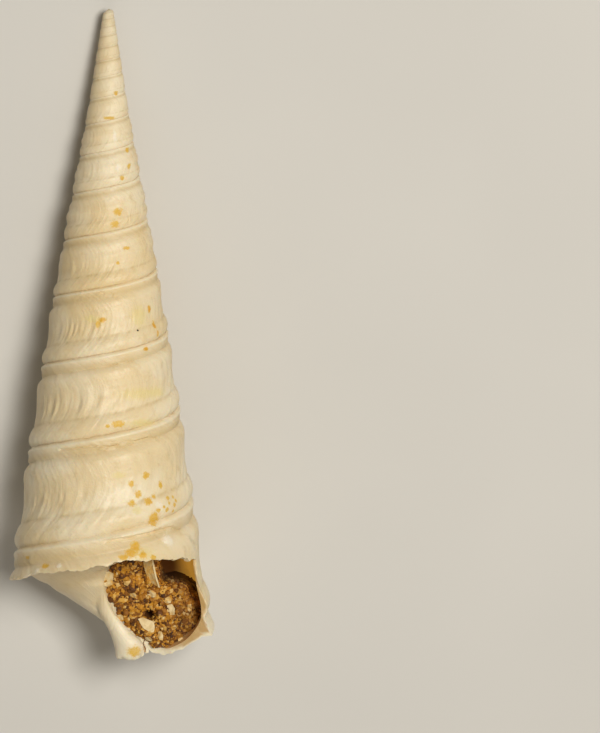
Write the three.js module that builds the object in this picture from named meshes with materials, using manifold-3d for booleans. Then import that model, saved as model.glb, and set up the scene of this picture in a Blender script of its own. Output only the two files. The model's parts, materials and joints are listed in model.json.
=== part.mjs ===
// A fossil tower shell (Turritella), lying on its back with the broken aperture up.
// Millimetres, +Z up. The shell is grown by one rule: every turn is GROWTH times the turn
// above it. s is the distance along the shell's axis from the point where the cone would end,
// and theta the angle round the axis: 0 right, 90 up (the apertural side), 180 left, 270 down.
import * as THREE from "three";
import Module from "manifold-3d";
import { mergeVertices } from "three/addons/utils/BufferGeometryUtils.js";

const wasm = await Module();
wasm.setup();

// Growth
const GROWTH = 1.22; // size of a turn over the turn above it
const SUTURE = 43.07; // s of the last suture where it crosses the right side
const LIP_DEGREES = 15; // the tube is whole up to this angle of the last turn
const TIP = 2.1; // s of the worn tip

// The cone's radius over s: a slender spire, widest in the middle whorls
const TAPER = [
  [2, 0.19],
  [4, 0.175],
  [6.5, 0.165],
  [10, 0.161],
  [14, 0.166],
  [19, 0.172],
  [26, 0.1735],
  [34, 0.171],
  [42, 0.1665],
  [50, 0.161],
  [56, 0.158],
];

// Relief of a whorl, as a share of its radius, from suture (0) to suture (1) and on to the keel
const EARLY_RELIEF = [
  [0, -0.035],
  [0.06, -0.018],
  [0.15, -0.03],
  [0.3, 0.012],
  [0.48, 0.034],
  [0.7, -0.002],
  [0.83, 0.02],
  [0.93, -0.01],
  [1, -0.035],
  [1.15, 0],
];
const LATE_RELIEF = [
  [0, -0.02],
  [0.07, 0.004],
  [0.15, -0.02],
  [0.27, 0.022],
  [0.45, -0.008],
  [0.65, -0.026],
  [0.76, -0.018],
  [0.87, 0.024],
  [1, -0.02],
  [1.15, 0.02],
];
const RELIEF_CHANGE = [19, 26]; // s over which the early relief gives way to the late one
// The last third of a turn flares towards the lip, as a share of its radius at each u
const LIP_FLARE = [
  [0.1, 0],
  [0.35, 0.014],
  [0.6, 0.02],
  [0.9, 0.028],
  [1.12, 0.045],
];
const FLARE_TURNS = [-0.3, 0.04];

// What is left of the broken last whorl: a strip below the suture, [theta, height]
const STRIP = [
  [15, 4.6],
  [42, 3.55],
  [65, 2.75],
  [90, 2.55],
  [135, 2.5],
  [180, 2.45],
  [205, 1.35],
  [240, 1.05],
  [320, 1.1],
  [375, 1.49],
];
const STRIP_THICK = 0.5;
const STRIP_FADE = [300, 350]; // theta over which the strip gives way to the keel
const STRIP_JAGS = 0.16;
const STRIP_WORN_THIN = { thick: 0.3, from: 185, to: 230 }; // on the back only its root is left

// The base below the keel, [radius, s], where the last turn is one full turn old
const BASE = [
  [8.86, 53.85],
  [7.98, 54.3],
  [7.0, 55.0],
  [5.9, 55.45],
  [3.9, 55.86],
  [1.8, 55.68],
];
const CALLUS = 0.6; // the broken side's base sinks this much more towards the columella
const COLUMELLA = 0.97; // radius of the central pillar
const FILLET_RADIUS = 4.27;
const FILLET_LENGTH = 2.5;
const COLUMELLA_BEND = { from: 51.5, slope: 0.32, inside: 2, outside: 7 };
const PILLAR_END = { ring: 56.5, tip: 56.85, tipRadius: 0.8, notch: 55.7, notchRadius: 1.8 };

// The hollow of the aperture
const WALL = 0.55;
const KEEL_WALL = 0.8;
const FLOOR_WALL = [
  [7, 0.8],
  [6, 0.75],
  [4.8, 0.7],
  [3.4, 0.75],
  [2.3, 1.3],
  [1.5, 2.1],
]; // wall of the hollow's floor at each radius, thicker where the pillar's inner lip joins it
const CAVITY_FROM = -50;
const CAVITY_PAST_LIP = 4;
const LINING = 0.15;

// The drill hole
const HOLE = { theta: 235.6, s: 29.95, width: 1.2, height: 1.6, bevel: 0.5, depth: 2.2 };

// The sand: outline seen from above the aperture, [x, s], its surface and its gap to the shell
const SAND_GAP = 0.3;
const SAND_OUTLINE = [
  [0.2, 47.6],
  [-0.1, 49.3],
  [-0.15, 50.6],
  [0.05, 51.5],
  [0.7, 53.0],
  [1.35, 53.8],
  [2.15, 54.7],
  [3.2, 55.3],
  [4.35, 55.6],
  [5.45, 55.65],
  [6.45, 55.3],
  [7.2, 54.6],
  [7.7, 53.7],
  [8.15, 52.7],
  [8.35, 51.6],
  [8.2, 50.2],
  [7.6, 48.2],
  [3.6, 47.4],
];
const SAND_FLAT = 1.45; // height of the sand above the axis
const SAND_BANK = { rise: 1.0, x: [4.4, 3.4], s: [51.2, 49.4] };
const SAND_RECESS = { drop: 5.6, x: [4.0, 4.6], s: [50.6, 49.9] };
const SAND_LUMPS = 0.22;
const SAND_RINGS = 7;
const SAND_FROM = -44;
const SAND_TO = 108;

// The lie
const LIE_DEGREES = 7.8; // the axis drops this much towards the tip, so the cone's side lies level
const REST = { turns: -1.25, u: 0.87 }; // the keel that the shell rests on, and the part's origin
const WORN = 0.14; // depth of the flats worn on the keels that it rests on

// Fineness
const COLUMNS = 32;
const ROWS = [
  { upTo: 7, at: [0.2, 0.48, 0.8, 1] },
  { upTo: 19, at: [0.15, 0.32, 0.5, 0.7, 0.84, 1] },
  { upTo: 99, at: [0.07, 0.15, 0.27, 0.45, 0.65, 0.78, 0.88, 1] },
];

const radians = THREE.MathUtils.degToRad;
const smooth = (x, from, to) => {
  const t = THREE.MathUtils.clamp((x - from) / (to - from), 0, 1);
  return t * t * (3 - 2 * t);
};
const mix = THREE.MathUtils.lerp;

// A smooth curve through [place, value] points
function through(points, x) {
  const last = points.length - 1;
  const i = Math.max(0, Math.min(last - 1, points.findIndex((p) => p[0] > x) - 1));
  const at = x >= points[last][0] ? last - 1 : i;
  const slope = (a, b) => (points[b][1] - points[a][1]) / (points[b][0] - points[a][0]);
  const [x0, y0] = points[at];
  const [x1, y1] = points[at + 1];
  const width = x1 - x0;
  const m0 = slope(Math.max(0, at - 1), at + 1) * width;
  const m1 = slope(at, Math.min(last, at + 2)) * width;
  const t = THREE.MathUtils.clamp((x - x0) / width, 0, 1);
  const t2 = t * t;
  const t3 = t2 * t;
  return (2 * t3 - 3 * t2 + 1) * y0 + (t3 - 2 * t2 + t) * m0
    + (3 * t2 - 2 * t3) * y1 + (t3 - t2) * m1;
}

const sutureAt = (turns) => SUTURE * GROWTH ** turns;

// The wall's radius at s, where u says how far down its whorl the point is
function wallRadius(s, u, turns) {
  const change = smooth(s, ...RELIEF_CHANGE);
  const relief = mix(through(EARLY_RELIEF, u), through(LATE_RELIEF, u), change);
  const flare = through(LIP_FLARE, u) * smooth(turns, ...FLARE_TURNS);
  return s * through(TAPER, s) * (1 + relief + flare);
}

// A point of the shell: the pillar bends towards the right side at its foot
function place(radius, theta, s) {
  const bend = COLUMELLA_BEND.slope * Math.max(0, s - COLUMELLA_BEND.from);
  const share = 1 - smooth(radius, COLUMELLA_BEND.inside, COLUMELLA_BEND.outside);
  const angle = radians(theta);
  return [radius * Math.cos(angle) + bend * share, -s, radius * Math.sin(angle)];
}

// The outside of the wall at turn count "turns" and place u of the whorl
function wallPoint(turns, u) {
  const s = sutureAt(turns + u);
  return { radius: wallRadius(s, u, turns), s, theta: turns * 360 };
}

// The base of the whorl above, at theta between the lip and one turn past it
function baseLevel(theta, radius) {
  const size = GROWTH ** (theta / 360 - 1);
  const own = radius / size;
  const points = [...BASE].reverse();
  const broken = 1 - smooth(theta, ...STRIP_FADE);
  return size * (through(points, own) + CALLUS * broken * (1 - smooth(own, 4, 6.2)));
}

function stripHeight(theta) {
  const jags = Math.sin(radians(theta * 7.3 + 20)) + 0.8 * Math.sin(radians(theta * 17.9));
  const broken = smooth(theta, 15, 30) * (1 - smooth(theta, 185, 215));
  return through(STRIP, theta) + STRIP_JAGS * 0.5 * jags * broken;
}

// One column below the last suture: strip, its inner face, the ceiling and the pillar
function endColumn(theta) {
  const size = GROWTH ** (theta / 360 - 1);
  const turns = theta / 360;
  const top = sutureAt(turns);
  const height = stripHeight(theta);
  const toKeel = smooth(theta, ...STRIP_FADE);
  const column = [];
  for (const share of [0.25, 0.5, 0.75, 1]) {
    const s = top + height * share;
    const u = Math.log(s / SUTURE) / Math.log(GROWTH) - turns;
    const strip = wallRadius(s, u, turns);
    const keel = wallRadius(s, u + 1, turns - 1);
    column.push({ radius: mix(strip, keel, toKeel), s });
  }
  const edge = column[3];
  const { thick: thin, from, to } = STRIP_WORN_THIN;
  const thick = mix(mix(STRIP_THICK, thin, smooth(theta, from, to)), 0.06, toKeel);
  column.push({ radius: edge.radius - thick, s: edge.s });
  const inner = Math.min(edge.radius, column[1].radius) - thick - 0.35;
  column.push({ radius: inner, s: baseLevel(theta, inner) });
  const late = smooth(theta, 290, 360);
  const end = mix(FILLET_RADIUS * size, PILLAR_END.notchRadius, late);
  for (const share of [0.3, 0.65, 1]) {
    const radius = mix(inner, end, share);
    column.push({ radius, s: baseLevel(theta, radius) });
  }
  const start = column[8];
  start.s = Math.min(start.s, PILLAR_END.notch);
  const length = Math.min(FILLET_LENGTH * size, 0.6 * (PILLAR_END.ring - start.s));
  const pillar = COLUMELLA * (1 + 0.3 * late);
  for (const share of [0.22, 0.48, 0.74, 1]) {
    const radius = pillar + (start.radius - pillar) * (1 - share) ** 1.3;
    column.push({ radius, s: start.s + length * share });
  }
  for (const [share, waist] of [[0.4, 0.95], [0.75, 0.93]]) {
    const radius = COLUMELLA * mix(waist, 1.2, late);
    column.push({ radius, s: mix(column[12].s, PILLAR_END.ring, share) });
  }
  column.push({ radius: COLUMELLA, s: PILLAR_END.ring });
  column.push({ radius: PILLAR_END.tipRadius, s: PILLAR_END.tip });
  return column.map((p) => ({ ...p, theta }));
}
const RING_ROW = 15;
const STRIP_ROWS = 4;

// The shell before its hollow and hole are cut: whorl rows, then the end columns
function shellMesh() {
  const points = [];
  const faces = [];
  const flat = [];
  const add = (p) => {
    flat.push([p.radius, p.s]);
    return points.push(place(p.radius, p.theta, p.s)) - 1;
  };
  const lip = LIP_DEGREES / 360;
  const count = Math.round((Math.log(SUTURE / TIP) / Math.log(GROWTH) + lip) * COLUMNS);
  const turnsOf = (i) => lip - (count - i) / COLUMNS;
  // Joins two neighbouring rows of points whose counts may differ
  const zip = (a, b) => {
    let i = 0;
    let j = 0;
    while (i < a.length - 1 || j < b.length - 1) {
      const nextA = (i + 1) / (a.length - 1);
      const nextB = (j + 1) / (b.length - 1);
      if (j >= b.length - 1 || (i < a.length - 1 && nextA <= nextB)) {
        faces.push([a[i], a[i + 1], b[j]]);
        i += 1;
      } else {
        faces.push([a[i], b[j + 1], b[j]]);
        j += 1;
      }
    }
  };
  const apex = add({ radius: 0, theta: 0, s: TIP - 0.08 });
  const lipColumn = endColumn(LIP_DEGREES);
  const lipRows = lipColumn.map(add);
  const strip = lipRows.slice(0, STRIP_ROWS);
  const whorl = [];
  for (let i = 0; i <= count; i += 1) {
    const turns = turnsOf(i);
    const rows = ROWS.find((r) => sutureAt(turns) < r.upTo).at;
    const first = i < COLUMNS ? add(wallPoint(turns, 0)) : whorl[i - COLUMNS].at(-1);
    const own = i < count ? rows : rows.slice(STRIP_ROWS);
    whorl.push([first, ...(i < count ? [] : strip), ...own.map((u) => add(wallPoint(turns, u)))]);
    if (i > 0) zip(whorl[i - 1], whorl[i]);
    if (i > 0 && i <= COLUMNS) faces.push([apex, whorl[i - 1][0], whorl[i][0]]);
  }
  for (let m = 0; m < whorl[0].length - 1; m += 1) {
    faces.push([apex, whorl[0][m + 1], whorl[0][m]]);
  }

  const ends = [[whorl[count - COLUMNS].at(-1), ...lipRows]];
  for (let j = 1; j <= COLUMNS; j += 1) {
    const column = endColumn(LIP_DEGREES + (360 * j) / COLUMNS);
    const own = j < COLUMNS ? column : column.slice(0, RING_ROW);
    const shared = j < COLUMNS ? [] : lipRows.slice(RING_ROW);
    ends.push([whorl[count - COLUMNS + j].at(-1), ...own.map(add), ...shared]);
    zip(ends[j - 1], ends[j]);
  }
  const tip = add({ radius: 0, theta: 0, s: PILLAR_END.tip + 0.02 });
  for (let j = 0; j < COLUMNS; j += 1) faces.push([tip, ends[j + 1].at(-1), ends[j].at(-1)]);

  // The broken face across the tube, between the strip's edge and the pillar's ring
  const near = ends[0].slice(STRIP_ROWS, RING_ROW + 2);
  const far = [...whorl[count].slice(STRIP_ROWS + 1), ...ends[COLUMNS].slice(1, RING_ROW + 1)];
  const outline = [...near, ...far.reverse()];
  const contour = outline.map((v) => new THREE.Vector2(...flat[v]));
  for (const [a, b, c] of THREE.ShapeUtils.triangulateShape(contour, [])) {
    faces.push([outline[a], outline[b], outline[c]]);
  }
  return { points, faces };
}

// A closed mesh as a solid with its faces pointing out
function solid({ points, faces }) {
  const make = (list) => new wasm.Manifold(new wasm.Mesh({
    numProp: 3,
    vertProperties: new Float32Array(points.flat()),
    triVerts: new Uint32Array(list.flat()),
  }));
  const made = make(faces);
  return made.volume() > 0 ? made : make(faces.map(([a, b, c]) => [a, c, b]));
}

// A three.js geometry as a solid
function solidOf(geometry) {
  geometry.deleteAttribute("normal");
  geometry.deleteAttribute("uv");
  const merged = mergeVertices(geometry, 1e-4);
  return new wasm.Manifold(new wasm.Mesh({
    numProp: 3,
    vertProperties: merged.attributes.position.array,
    triVerts: new Uint32Array(merged.index.array),
  }));
}

// Section of the last turn's hollow at theta, drawn in by inset
function tubeSection(theta, inset) {
  const turns = theta / 360;
  const grown = GROWTH ** turns;
  const section = [];
  for (const u of [0.2, 0.36, 0.55, 0.75, 0.93, 1.04]) {
    const s = sutureAt(turns + u);
    const thick = mix(WALL, KEEL_WALL, smooth(u, 0.75, 1.04)) + inset;
    section.push([wallRadius(s, u, turns) - thick, s]);
  }
  for (const [radius, thick] of FLOOR_WALL) {
    const level = through([...BASE].reverse(), radius);
    section.push([radius * grown, grown * level - thick - inset]);
  }
  // Up the pillar and under the ceiling
  const column = endColumn(theta);
  const gap = LINING + inset;
  const deepest = section.at(-1)[1];
  section.push([COLUMELLA + gap, mix(column[12].s, deepest, 0.5)]);
  for (const row of [12, 11, 10, 9, 8]) {
    section.push([column[row].radius + gap * 0.8, column[row].s + gap * 0.6]);
  }
  section.push([column[7].radius, column[7].s + gap]);
  section.push([column[6].radius, column[6].s + gap]);
  const top = section[0];
  section.push([Math.min(column[5].radius, top[0]) - 0.3, column[5].s + gap + 0.1]);
  return section;
}

// The hollow swept from one angle to another
function sweep(from, to, steps, inset) {
  const points = [];
  const faces = [];
  let size = 0;
  for (let k = 0; k <= steps; k += 1) {
    const theta = mix(from, to, k / steps);
    const section = tubeSection(theta, inset);
    size = section.length;
    section.forEach(([radius, s]) => points.push(place(radius, theta, s)));
    if (k === 0 || k === steps) {
      const contour = section.map(([radius, s]) => new THREE.Vector2(radius, s));
      for (const [a, b, c] of THREE.ShapeUtils.triangulateShape(contour, [])) {
        const cap = [a, b, c].map((v) => v + k * size);
        faces.push(k === 0 ? cap : [cap[0], cap[2], cap[1]]);
      }
    }
  }
  for (let k = 0; k < steps; k += 1) {
    for (let m = 0; m < size; m += 1) {
      const n = (m + 1) % size;
      const a = k * size;
      const b = a + size;
      faces.push([a + m, b + m, a + n], [a + n, b + m, b + n]);
    }
  }
  return solid({ points, faces });
}

// The drill hole: a bevelled mouth over a straight bore, square to the wall
function drillHole() {
  const { theta, s, width, height, bevel, depth } = HOLE;
  const radius = wallRadius(s, 0.4, -2);
  const angle = radians(theta);
  const out = new THREE.Vector3(Math.cos(angle), 0, Math.sin(angle));
  const along = new THREE.Vector3(0, 1, 0);
  const across = new THREE.Vector3().crossVectors(out, along);
  const profile = [
    [0, -depth],
    [0.5, -depth],
    [0.5, -0.45],
    [0.5 + bevel, 0.15],
    [0.5 + bevel * 1.3, 0.6],
    [0, 0.6],
  ].map(([r, y]) => new THREE.Vector2(r, y));
  const cut = new THREE.LatheGeometry(profile, 18);
  cut.scale(width, 1, height);
  cut.applyMatrix4(new THREE.Matrix4().makeBasis(across, out, along));
  cut.translate(out.x * radius, -s, out.z * radius);
  return solidOf(cut);
}

// The sand's lumps, as a height over the plane through the axis
function sandHeight(x, s) {
  const bank = smooth(x, ...SAND_BANK.x) * smooth(s, ...SAND_BANK.s);
  const recess = smooth(x, ...SAND_RECESS.x) * smooth(s, ...SAND_RECESS.s);
  const lumps = Math.sin(x * 2.3 + s) * Math.sin(s * 2.1 - x * 0.7) + 0.5 * Math.sin(x * 3.1 - s * 2.6);
  return SAND_FLAT + SAND_BANK.rise * bank - SAND_RECESS.drop * recess + SAND_LUMPS * lumps;
}

function sandBlock() {
  const curve = new THREE.CatmullRomCurve3(
    SAND_OUTLINE.map(([x, s]) => new THREE.Vector3(x, 0, s)),
    true,
  );
  const rim = curve.getSpacedPoints(34).slice(0, -1);
  const middle = rim.reduce((sum, p) => sum.add(p), new THREE.Vector3()).divideScalar(rim.length);
  const points = [[middle.x, -middle.z, sandHeight(middle.x, middle.z)]];
  const faces = [];
  const count = rim.length;
  const floor = -9;
  for (let ring = 1; ring <= SAND_RINGS + 1; ring += 1) {
    const share = Math.min(ring, SAND_RINGS) / SAND_RINGS;
    rim.forEach((p, k) => {
      const q = middle.clone().lerp(p, share);
      points.push([q.x, -q.z, ring > SAND_RINGS ? floor : sandHeight(q.x, q.z)]);
      const a = 1 + (ring - 1) * count + k;
      const b = 1 + (ring - 1) * count + ((k + 1) % count);
      if (ring === 1) faces.push([0, a, b]);
      else faces.push([a - count, a, b], [a - count, b, b - count]);
    });
  }
  const under = points.push([middle.x, -middle.z, floor]) - 1;
  const last = 1 + SAND_RINGS * count;
  for (let k = 0; k < count; k += 1) faces.push([under, last + ((k + 1) % count), last + k]);
  return solid({ points, faces });
}

function meshFrom(made, name, material) {
  const { vertProperties, triVerts } = made.getMesh();
  const geometry = new THREE.BufferGeometry();
  geometry.setAttribute("position", new THREE.BufferAttribute(vertProperties, 3));
  geometry.setIndex(new THREE.BufferAttribute(triVerts, 1));
  geometry.computeVertexNormals();
  const mesh = new THREE.Mesh(geometry, material);
  mesh.name = name;
  return mesh;
}

const stone = (color, roughness) => new THREE.MeshStandardMaterial({ color, roughness, metalness: 0 });
const biggest = (made) => made.decompose().sort((a, b) => b.volume() - a.volume())[0];

// The lie: the fossil's own frame has y towards the tip and z up from the axis
const rest = wallPoint(REST.turns, REST.u);
const lying = new THREE.Group();
lying.rotation.x = -radians(LIE_DEGREES);
lying.position.set(0, rest.s, rest.radius - WORN).applyEuler(lying.rotation);
lying.updateMatrix();

// Everything above the ground, in the fossil's own frame
const above = new THREE.BoxGeometry(60, 120, 60);
above.translate(0, 0, 30);
above.applyMatrix4(lying.matrix.clone().invert());

const hollow = sweep(CAVITY_FROM, LIP_DEGREES + CAVITY_PAST_LIP, 7, 0);
const whole = solid(shellMesh()).subtract(hollow).subtract(drillHole());
const shell = whole.intersect(solidOf(above));
const sand = biggest(sweep(SAND_FROM, SAND_TO, 12, SAND_GAP).intersect(sandBlock()));

lying.add(meshFrom(shell, "shell", stone(0xe6d6b4, 0.5)));
lying.add(meshFrom(sand, "sand_fill", stone(0xa8793a, 0.95)));

const fossil = new THREE.Group();
fossil.add(lying);

export default fossil;
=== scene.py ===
# %% [markdown]
# # A fossil tower shell, lying down
# This lesson finishes a Turritella: a slender snail shell, one coiled tube of some sixteen turns,
# whose last turn is broken open and packed with coarse sand. A scan could give its surface, or a
# sculptor could carve it by hand. Here it is grown from the rule that the animal followed,
# because every ridge and stain then has a place on the coil and can be tuned by number.

# %% Open the frame
import json
import math

import bpy
import numpy as np
from mathutils import Euler, Matrix, Vector, noise

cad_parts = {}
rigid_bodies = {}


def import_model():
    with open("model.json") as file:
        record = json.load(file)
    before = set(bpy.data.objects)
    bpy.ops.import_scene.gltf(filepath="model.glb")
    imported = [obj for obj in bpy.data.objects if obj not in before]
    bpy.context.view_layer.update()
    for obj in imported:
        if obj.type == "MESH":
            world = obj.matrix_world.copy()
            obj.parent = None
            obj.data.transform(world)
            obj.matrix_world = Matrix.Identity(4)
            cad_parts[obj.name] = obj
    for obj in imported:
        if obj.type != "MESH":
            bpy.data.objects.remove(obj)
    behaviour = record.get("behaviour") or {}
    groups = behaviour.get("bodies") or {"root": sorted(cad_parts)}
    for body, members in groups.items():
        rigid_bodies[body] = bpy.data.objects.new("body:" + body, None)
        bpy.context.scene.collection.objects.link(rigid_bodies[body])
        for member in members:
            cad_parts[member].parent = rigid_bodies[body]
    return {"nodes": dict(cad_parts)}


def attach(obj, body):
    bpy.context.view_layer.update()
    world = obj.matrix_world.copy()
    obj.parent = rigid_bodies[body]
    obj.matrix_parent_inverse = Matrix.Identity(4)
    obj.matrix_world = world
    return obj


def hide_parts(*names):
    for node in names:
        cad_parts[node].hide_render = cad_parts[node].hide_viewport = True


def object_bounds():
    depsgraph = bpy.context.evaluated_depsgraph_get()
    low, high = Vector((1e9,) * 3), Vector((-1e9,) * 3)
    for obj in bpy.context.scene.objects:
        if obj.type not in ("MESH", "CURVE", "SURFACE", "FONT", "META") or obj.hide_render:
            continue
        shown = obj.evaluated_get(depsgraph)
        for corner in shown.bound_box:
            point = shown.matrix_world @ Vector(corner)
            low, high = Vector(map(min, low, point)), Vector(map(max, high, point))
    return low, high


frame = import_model()
CAD_BOX = [list(corner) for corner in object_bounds()]
print("solids:", sorted(frame["nodes"]), "box:", CAD_BOX)

# %% [markdown]
# ## The growth rule
# A tower shell keeps its shape as it grows: each turn is a fixed number of times larger than the
# turn before, so the suture, the seam between turns, is a spiral on a cone. A place on the coil
# has three numbers: the turns grown so far, u, how far down its turn it lies, and s, how far
# along the axis it is from the point where the cone would end. Lengths here are millimetres.

# %% Growth
MM = 0.001
GROWTH = 1.22  # size of a turn over the turn above it
SUTURE = 43.07  # s of the last suture where it crosses the right side
TIP = 2.1  # s of the worn tip
TAPER = [(2, .19), (4, .175), (6.5, .165), (10, .161), (14, .166), (19, .172), (26, .1735),
         (34, .171), (42, .1665), (50, .161), (56, .158)]  # radius over s, at each s


def suture_at(turns):
    """s of the suture after so many turns, counted from the last suture."""
    return SUTURE * GROWTH ** turns


def turns_at(s):
    """The growth rule turned round: the turns after which the suture lies at s."""
    return np.log(s / SUTURE) / math.log(GROWTH)


def turned_from(turns, degrees):
    """Degrees round the coil from the given side, between -180 and 180."""
    return (turns * 360 - degrees + 180) % 360 - 180


print("turns above the last suture:", round(-float(turns_at(TIP)), 1))

# %% [markdown]
# ## Five small tools
# Two smooth steps, a blend, a curve through a few chosen points and a bell are all that the
# outlines need. The curve is a cubic whose slope at each point comes from its neighbours, which
# is how a draughtsman's bent strip of wood would run through the same points.

# %% Steps, blends and curves


def smooth(x, start, end):
    """A smooth step from 0 at start to 1 at end."""
    share = np.clip((np.asarray(x, float) - start) / (end - start), 0, 1)
    return share * share * (3 - 2 * share)


def plateau(x, start, full, fall, end):
    """1 from full to fall, and 0 before start and after end."""
    return smooth(x, start, full) * (1 - smooth(x, fall, end))


def mix(a, b, share):
    return a + (b - a) * share


def through(points, x):
    """The value at x on the curve through the (place, value) points."""
    places, values = np.array(points, float).T
    at = np.clip(np.searchsorted(places, x, side="right") - 1, 0, len(places) - 2)
    before, after = np.maximum(at - 1, 0), np.minimum(at + 2, len(places) - 1)
    width = places[at + 1] - places[at]
    start = (values[at + 1] - values[before]) / (places[at + 1] - places[before]) * width
    end = (values[after] - values[at]) / (places[after] - places[at]) * width
    t = np.clip((x - places[at]) / width, 0, 1)
    cubic = (2 * t ** 3 - 3 * t ** 2 + 1) * values[at] + (t ** 3 - 2 * t ** 2 + t) * start
    return cubic + (3 * t ** 2 - 2 * t ** 3) * values[at + 1] + (t ** 3 - t ** 2) * end


def bell(x, centre, width):
    """1 at the centre, falling away over the width."""
    return np.exp(-(((x - centre) / width) ** 2))


print("radius at s = 30:", round(30 * float(through(TAPER, 30)), 2), "mm")

# %% [markdown]
# ## Relief of a turn
# Down each turn run spiral cords and channels: a thin cord under the suture, a shallow channel,
# a round shoulder, a band of knots, a pitted groove and a smooth keel. Across them run growth
# lines, the old edges of the mouth, which bow backwards in the middle of the turn. They could be
# painted as bump alone, but they catch the light along the outline too, so the larger ones are
# real mesh. The numbers are shares of the shell's radius, so the relief grows with the turns.

# %% The main relief
YOUNG_RELIEF = [(0, -.05), (.06, -.02), (.15, -.036), (.28, .014), (.36, -.002), (.5, .04),
                (.66, -.012), (.8, .026), (.93, -.01), (1, -.05), (1.15, -.01)]
OLD_RELIEF = [(0, -.022), (.045, .005), (.09, -.007), (.14, -.013), (.175, -.027), (.21, -.006),
              (.27, .02), (.45, -.006), (.62, -.026), (.75, -.018), (.88, .025), (.95, .01),
              (1, -.022), (1.15, .02)]
LIP_FLARE = [(.1, 0), (.35, .014), (.6, .02), (.9, .028), (1.12, .045)]  # share at each u
FLARE_TURNS = (-.3, .04)  # the last third of a turn flares towards the lip
RELIEF_CHANGE = (19, 26)  # s over which the young turns' relief gives way to the old turns'


def wall_radius(s, u, turns):
    change = smooth(s, *RELIEF_CHANGE)
    relief = mix(through(YOUNG_RELIEF, u), through(OLD_RELIEF, u), change)
    flare = through(LIP_FLARE, u) * smooth(turns, *FLARE_TURNS)
    return s * through(TAPER, s) * (1 + relief + flare)


print("last turn's keel:", round(float(wall_radius(51.0, .87, -.05)), 2), "mm from the axis")

# %% Growth lines
SINUS_DEGREES = 28  # how far back a growth line bows in the middle of its turn
SINUS_PHASE = 2.9
SINUS_POWER = .9
DRIFT = 1.3  # how fast the lines' noise changes from one turn to the next


def sinus(u):
    return SINUS_DEGREES / 360 * np.sin(SINUS_PHASE * np.clip(u, 0, 1.1) ** SINUS_POWER)


def along_growth(turns, u, fineness, layer, drift=DRIFT):
    """Noise that runs down the turn along the growth lines, about -1 to 1."""
    phase = 2 * np.pi * (turns + sinus(u))
    height = (turns + u) * drift + layer
    places = np.stack([np.cos(phase) * fineness, np.sin(phase) * fineness, height], -1)
    values = [noise.noise(Vector(place)) for place in places.reshape(-1, 3)]
    return np.array(values).reshape(phase.shape)


print("a growth line bows back", round(float(sinus(.5)) * 360), "degrees")

# %% Seam, grooves and knots
SEAM_DEPTH, SEAM_WIDTH = .011, .013
SEAM_CORD = (.009, .04, .015)  # height, place down the turn, width
SEAM_CHANNEL = (.005, .178, .014)
LOW_GROOVE = (.016, .768, .016)
MID_GROOVE = (.006, .612, .013)
MID_GROOVE_SIDE = (-75, 45)  # degrees from the knotty side, and over how far
KNOTS = (.023, .6, .11)
KNOTTY_SIDE = (122, 48)  # degrees round the coil where the knots are strong, and over how far
KNOT_WANE = (37, 41, .35)  # between these s the knots lose this share
KEEL_MERGE = (.78, .95)  # the last seam fades between these turns, where no turn follows it


def seam_relief(u, turns, knot):
    """The seam, the thin cord under it and the channel under the cord."""
    to_seam = np.where(u <= 1, np.minimum(u, 1 - u), u - 1)
    followed = 1 - smooth(turns + (u > .5), *KEEL_MERGE)
    seam = -SEAM_DEPTH * bell(to_seam, 0, SEAM_WIDTH) * followed
    cord = SEAM_CORD[0] * bell(u, *SEAM_CORD[1:]) * (.8 + .6 * knot)
    return [seam, cord, -SEAM_CHANNEL[0] * bell(u, *SEAM_CHANNEL[1:])]


def band_relief(s, u, turns, knot, coarse, old):
    """The pitted grooves and the band of knots that the old turns carry."""
    side = turned_from(turns, KNOTTY_SIDE[0])
    pits = .8 + .5 * knot
    low = -LOW_GROOVE[0] * bell(u, *LOW_GROOVE[1:]) * pits * old
    middle = -MID_GROOVE[0] * bell(u, *MID_GROOVE[1:]) * bell(side, *MID_GROOVE_SIDE) * pits * old
    knotty = .3 + .9 * bell(side, 0, KNOTTY_SIDE[1])
    knots = KNOTS[0] * bell(u, *KNOTS[1:]) * (smooth(knot, -.25, .4) - .5) * knotty * old
    wane = 1 - KNOT_WANE[2] * smooth(s, *KNOT_WANE[:2])
    return [low, middle, knots * smooth(coarse, -.8, -.1) * wane]


print("knots rise by up to", round(KNOTS[0] * 50, 1), "% of the shell's radius")

# %% Growth furrows, and all the fine relief
FURROWS = .0038  # depth of the growth furrows
SWELLS = .006  # height of the broad growth swellings
WRINKLES = .0045  # depth of the short, uneven creases
THREADS = [(.0026, .34, .014), (.0036, .45, .018), (.0022, .54, .012), (.0034, .69, .014)]
FURROWED = (.03, .14, .93, 1.0)  # the furrows rise and end between these places down the turn
FINE_NOISE = [
    # fineness and layer of the furrows, the swellings and the knots, and the creases' with drift
    (9, 0), (3.2, 40), (14, 80), (5, 120, 4.2),
]


def growth_relief(u, old, line, coarse, crease):
    """Short creases, furrows and broad swellings along the growth lines."""
    inside = plateau(u, *FURROWED)
    wrinkles = -WRINKLES * bell(crease, 0, .1) * inside * mix(.4, 1, old)
    furrows = -FURROWS * bell(line, 0, .16) * (.35 + smooth(coarse, -.3, .3)) * inside
    return [wrinkles, furrows, SWELLS * coarse * inside * mix(.5, 1, old)]


def fine_relief(s, u, turns):
    old = smooth(s, *RELIEF_CHANGE)
    line, coarse, knot, crease = (along_growth(turns, u, *numbers) for numbers in FINE_NOISE)
    parts = seam_relief(u, turns, knot) + band_relief(s, u, turns, knot, coarse, old)
    parts += growth_relief(u, old, line, coarse, crease)
    threads = sum(height * bell(u, at, width) for height, at, width in THREADS)
    return sum(parts) + threads * (.7 + .6 * knot)


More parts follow.
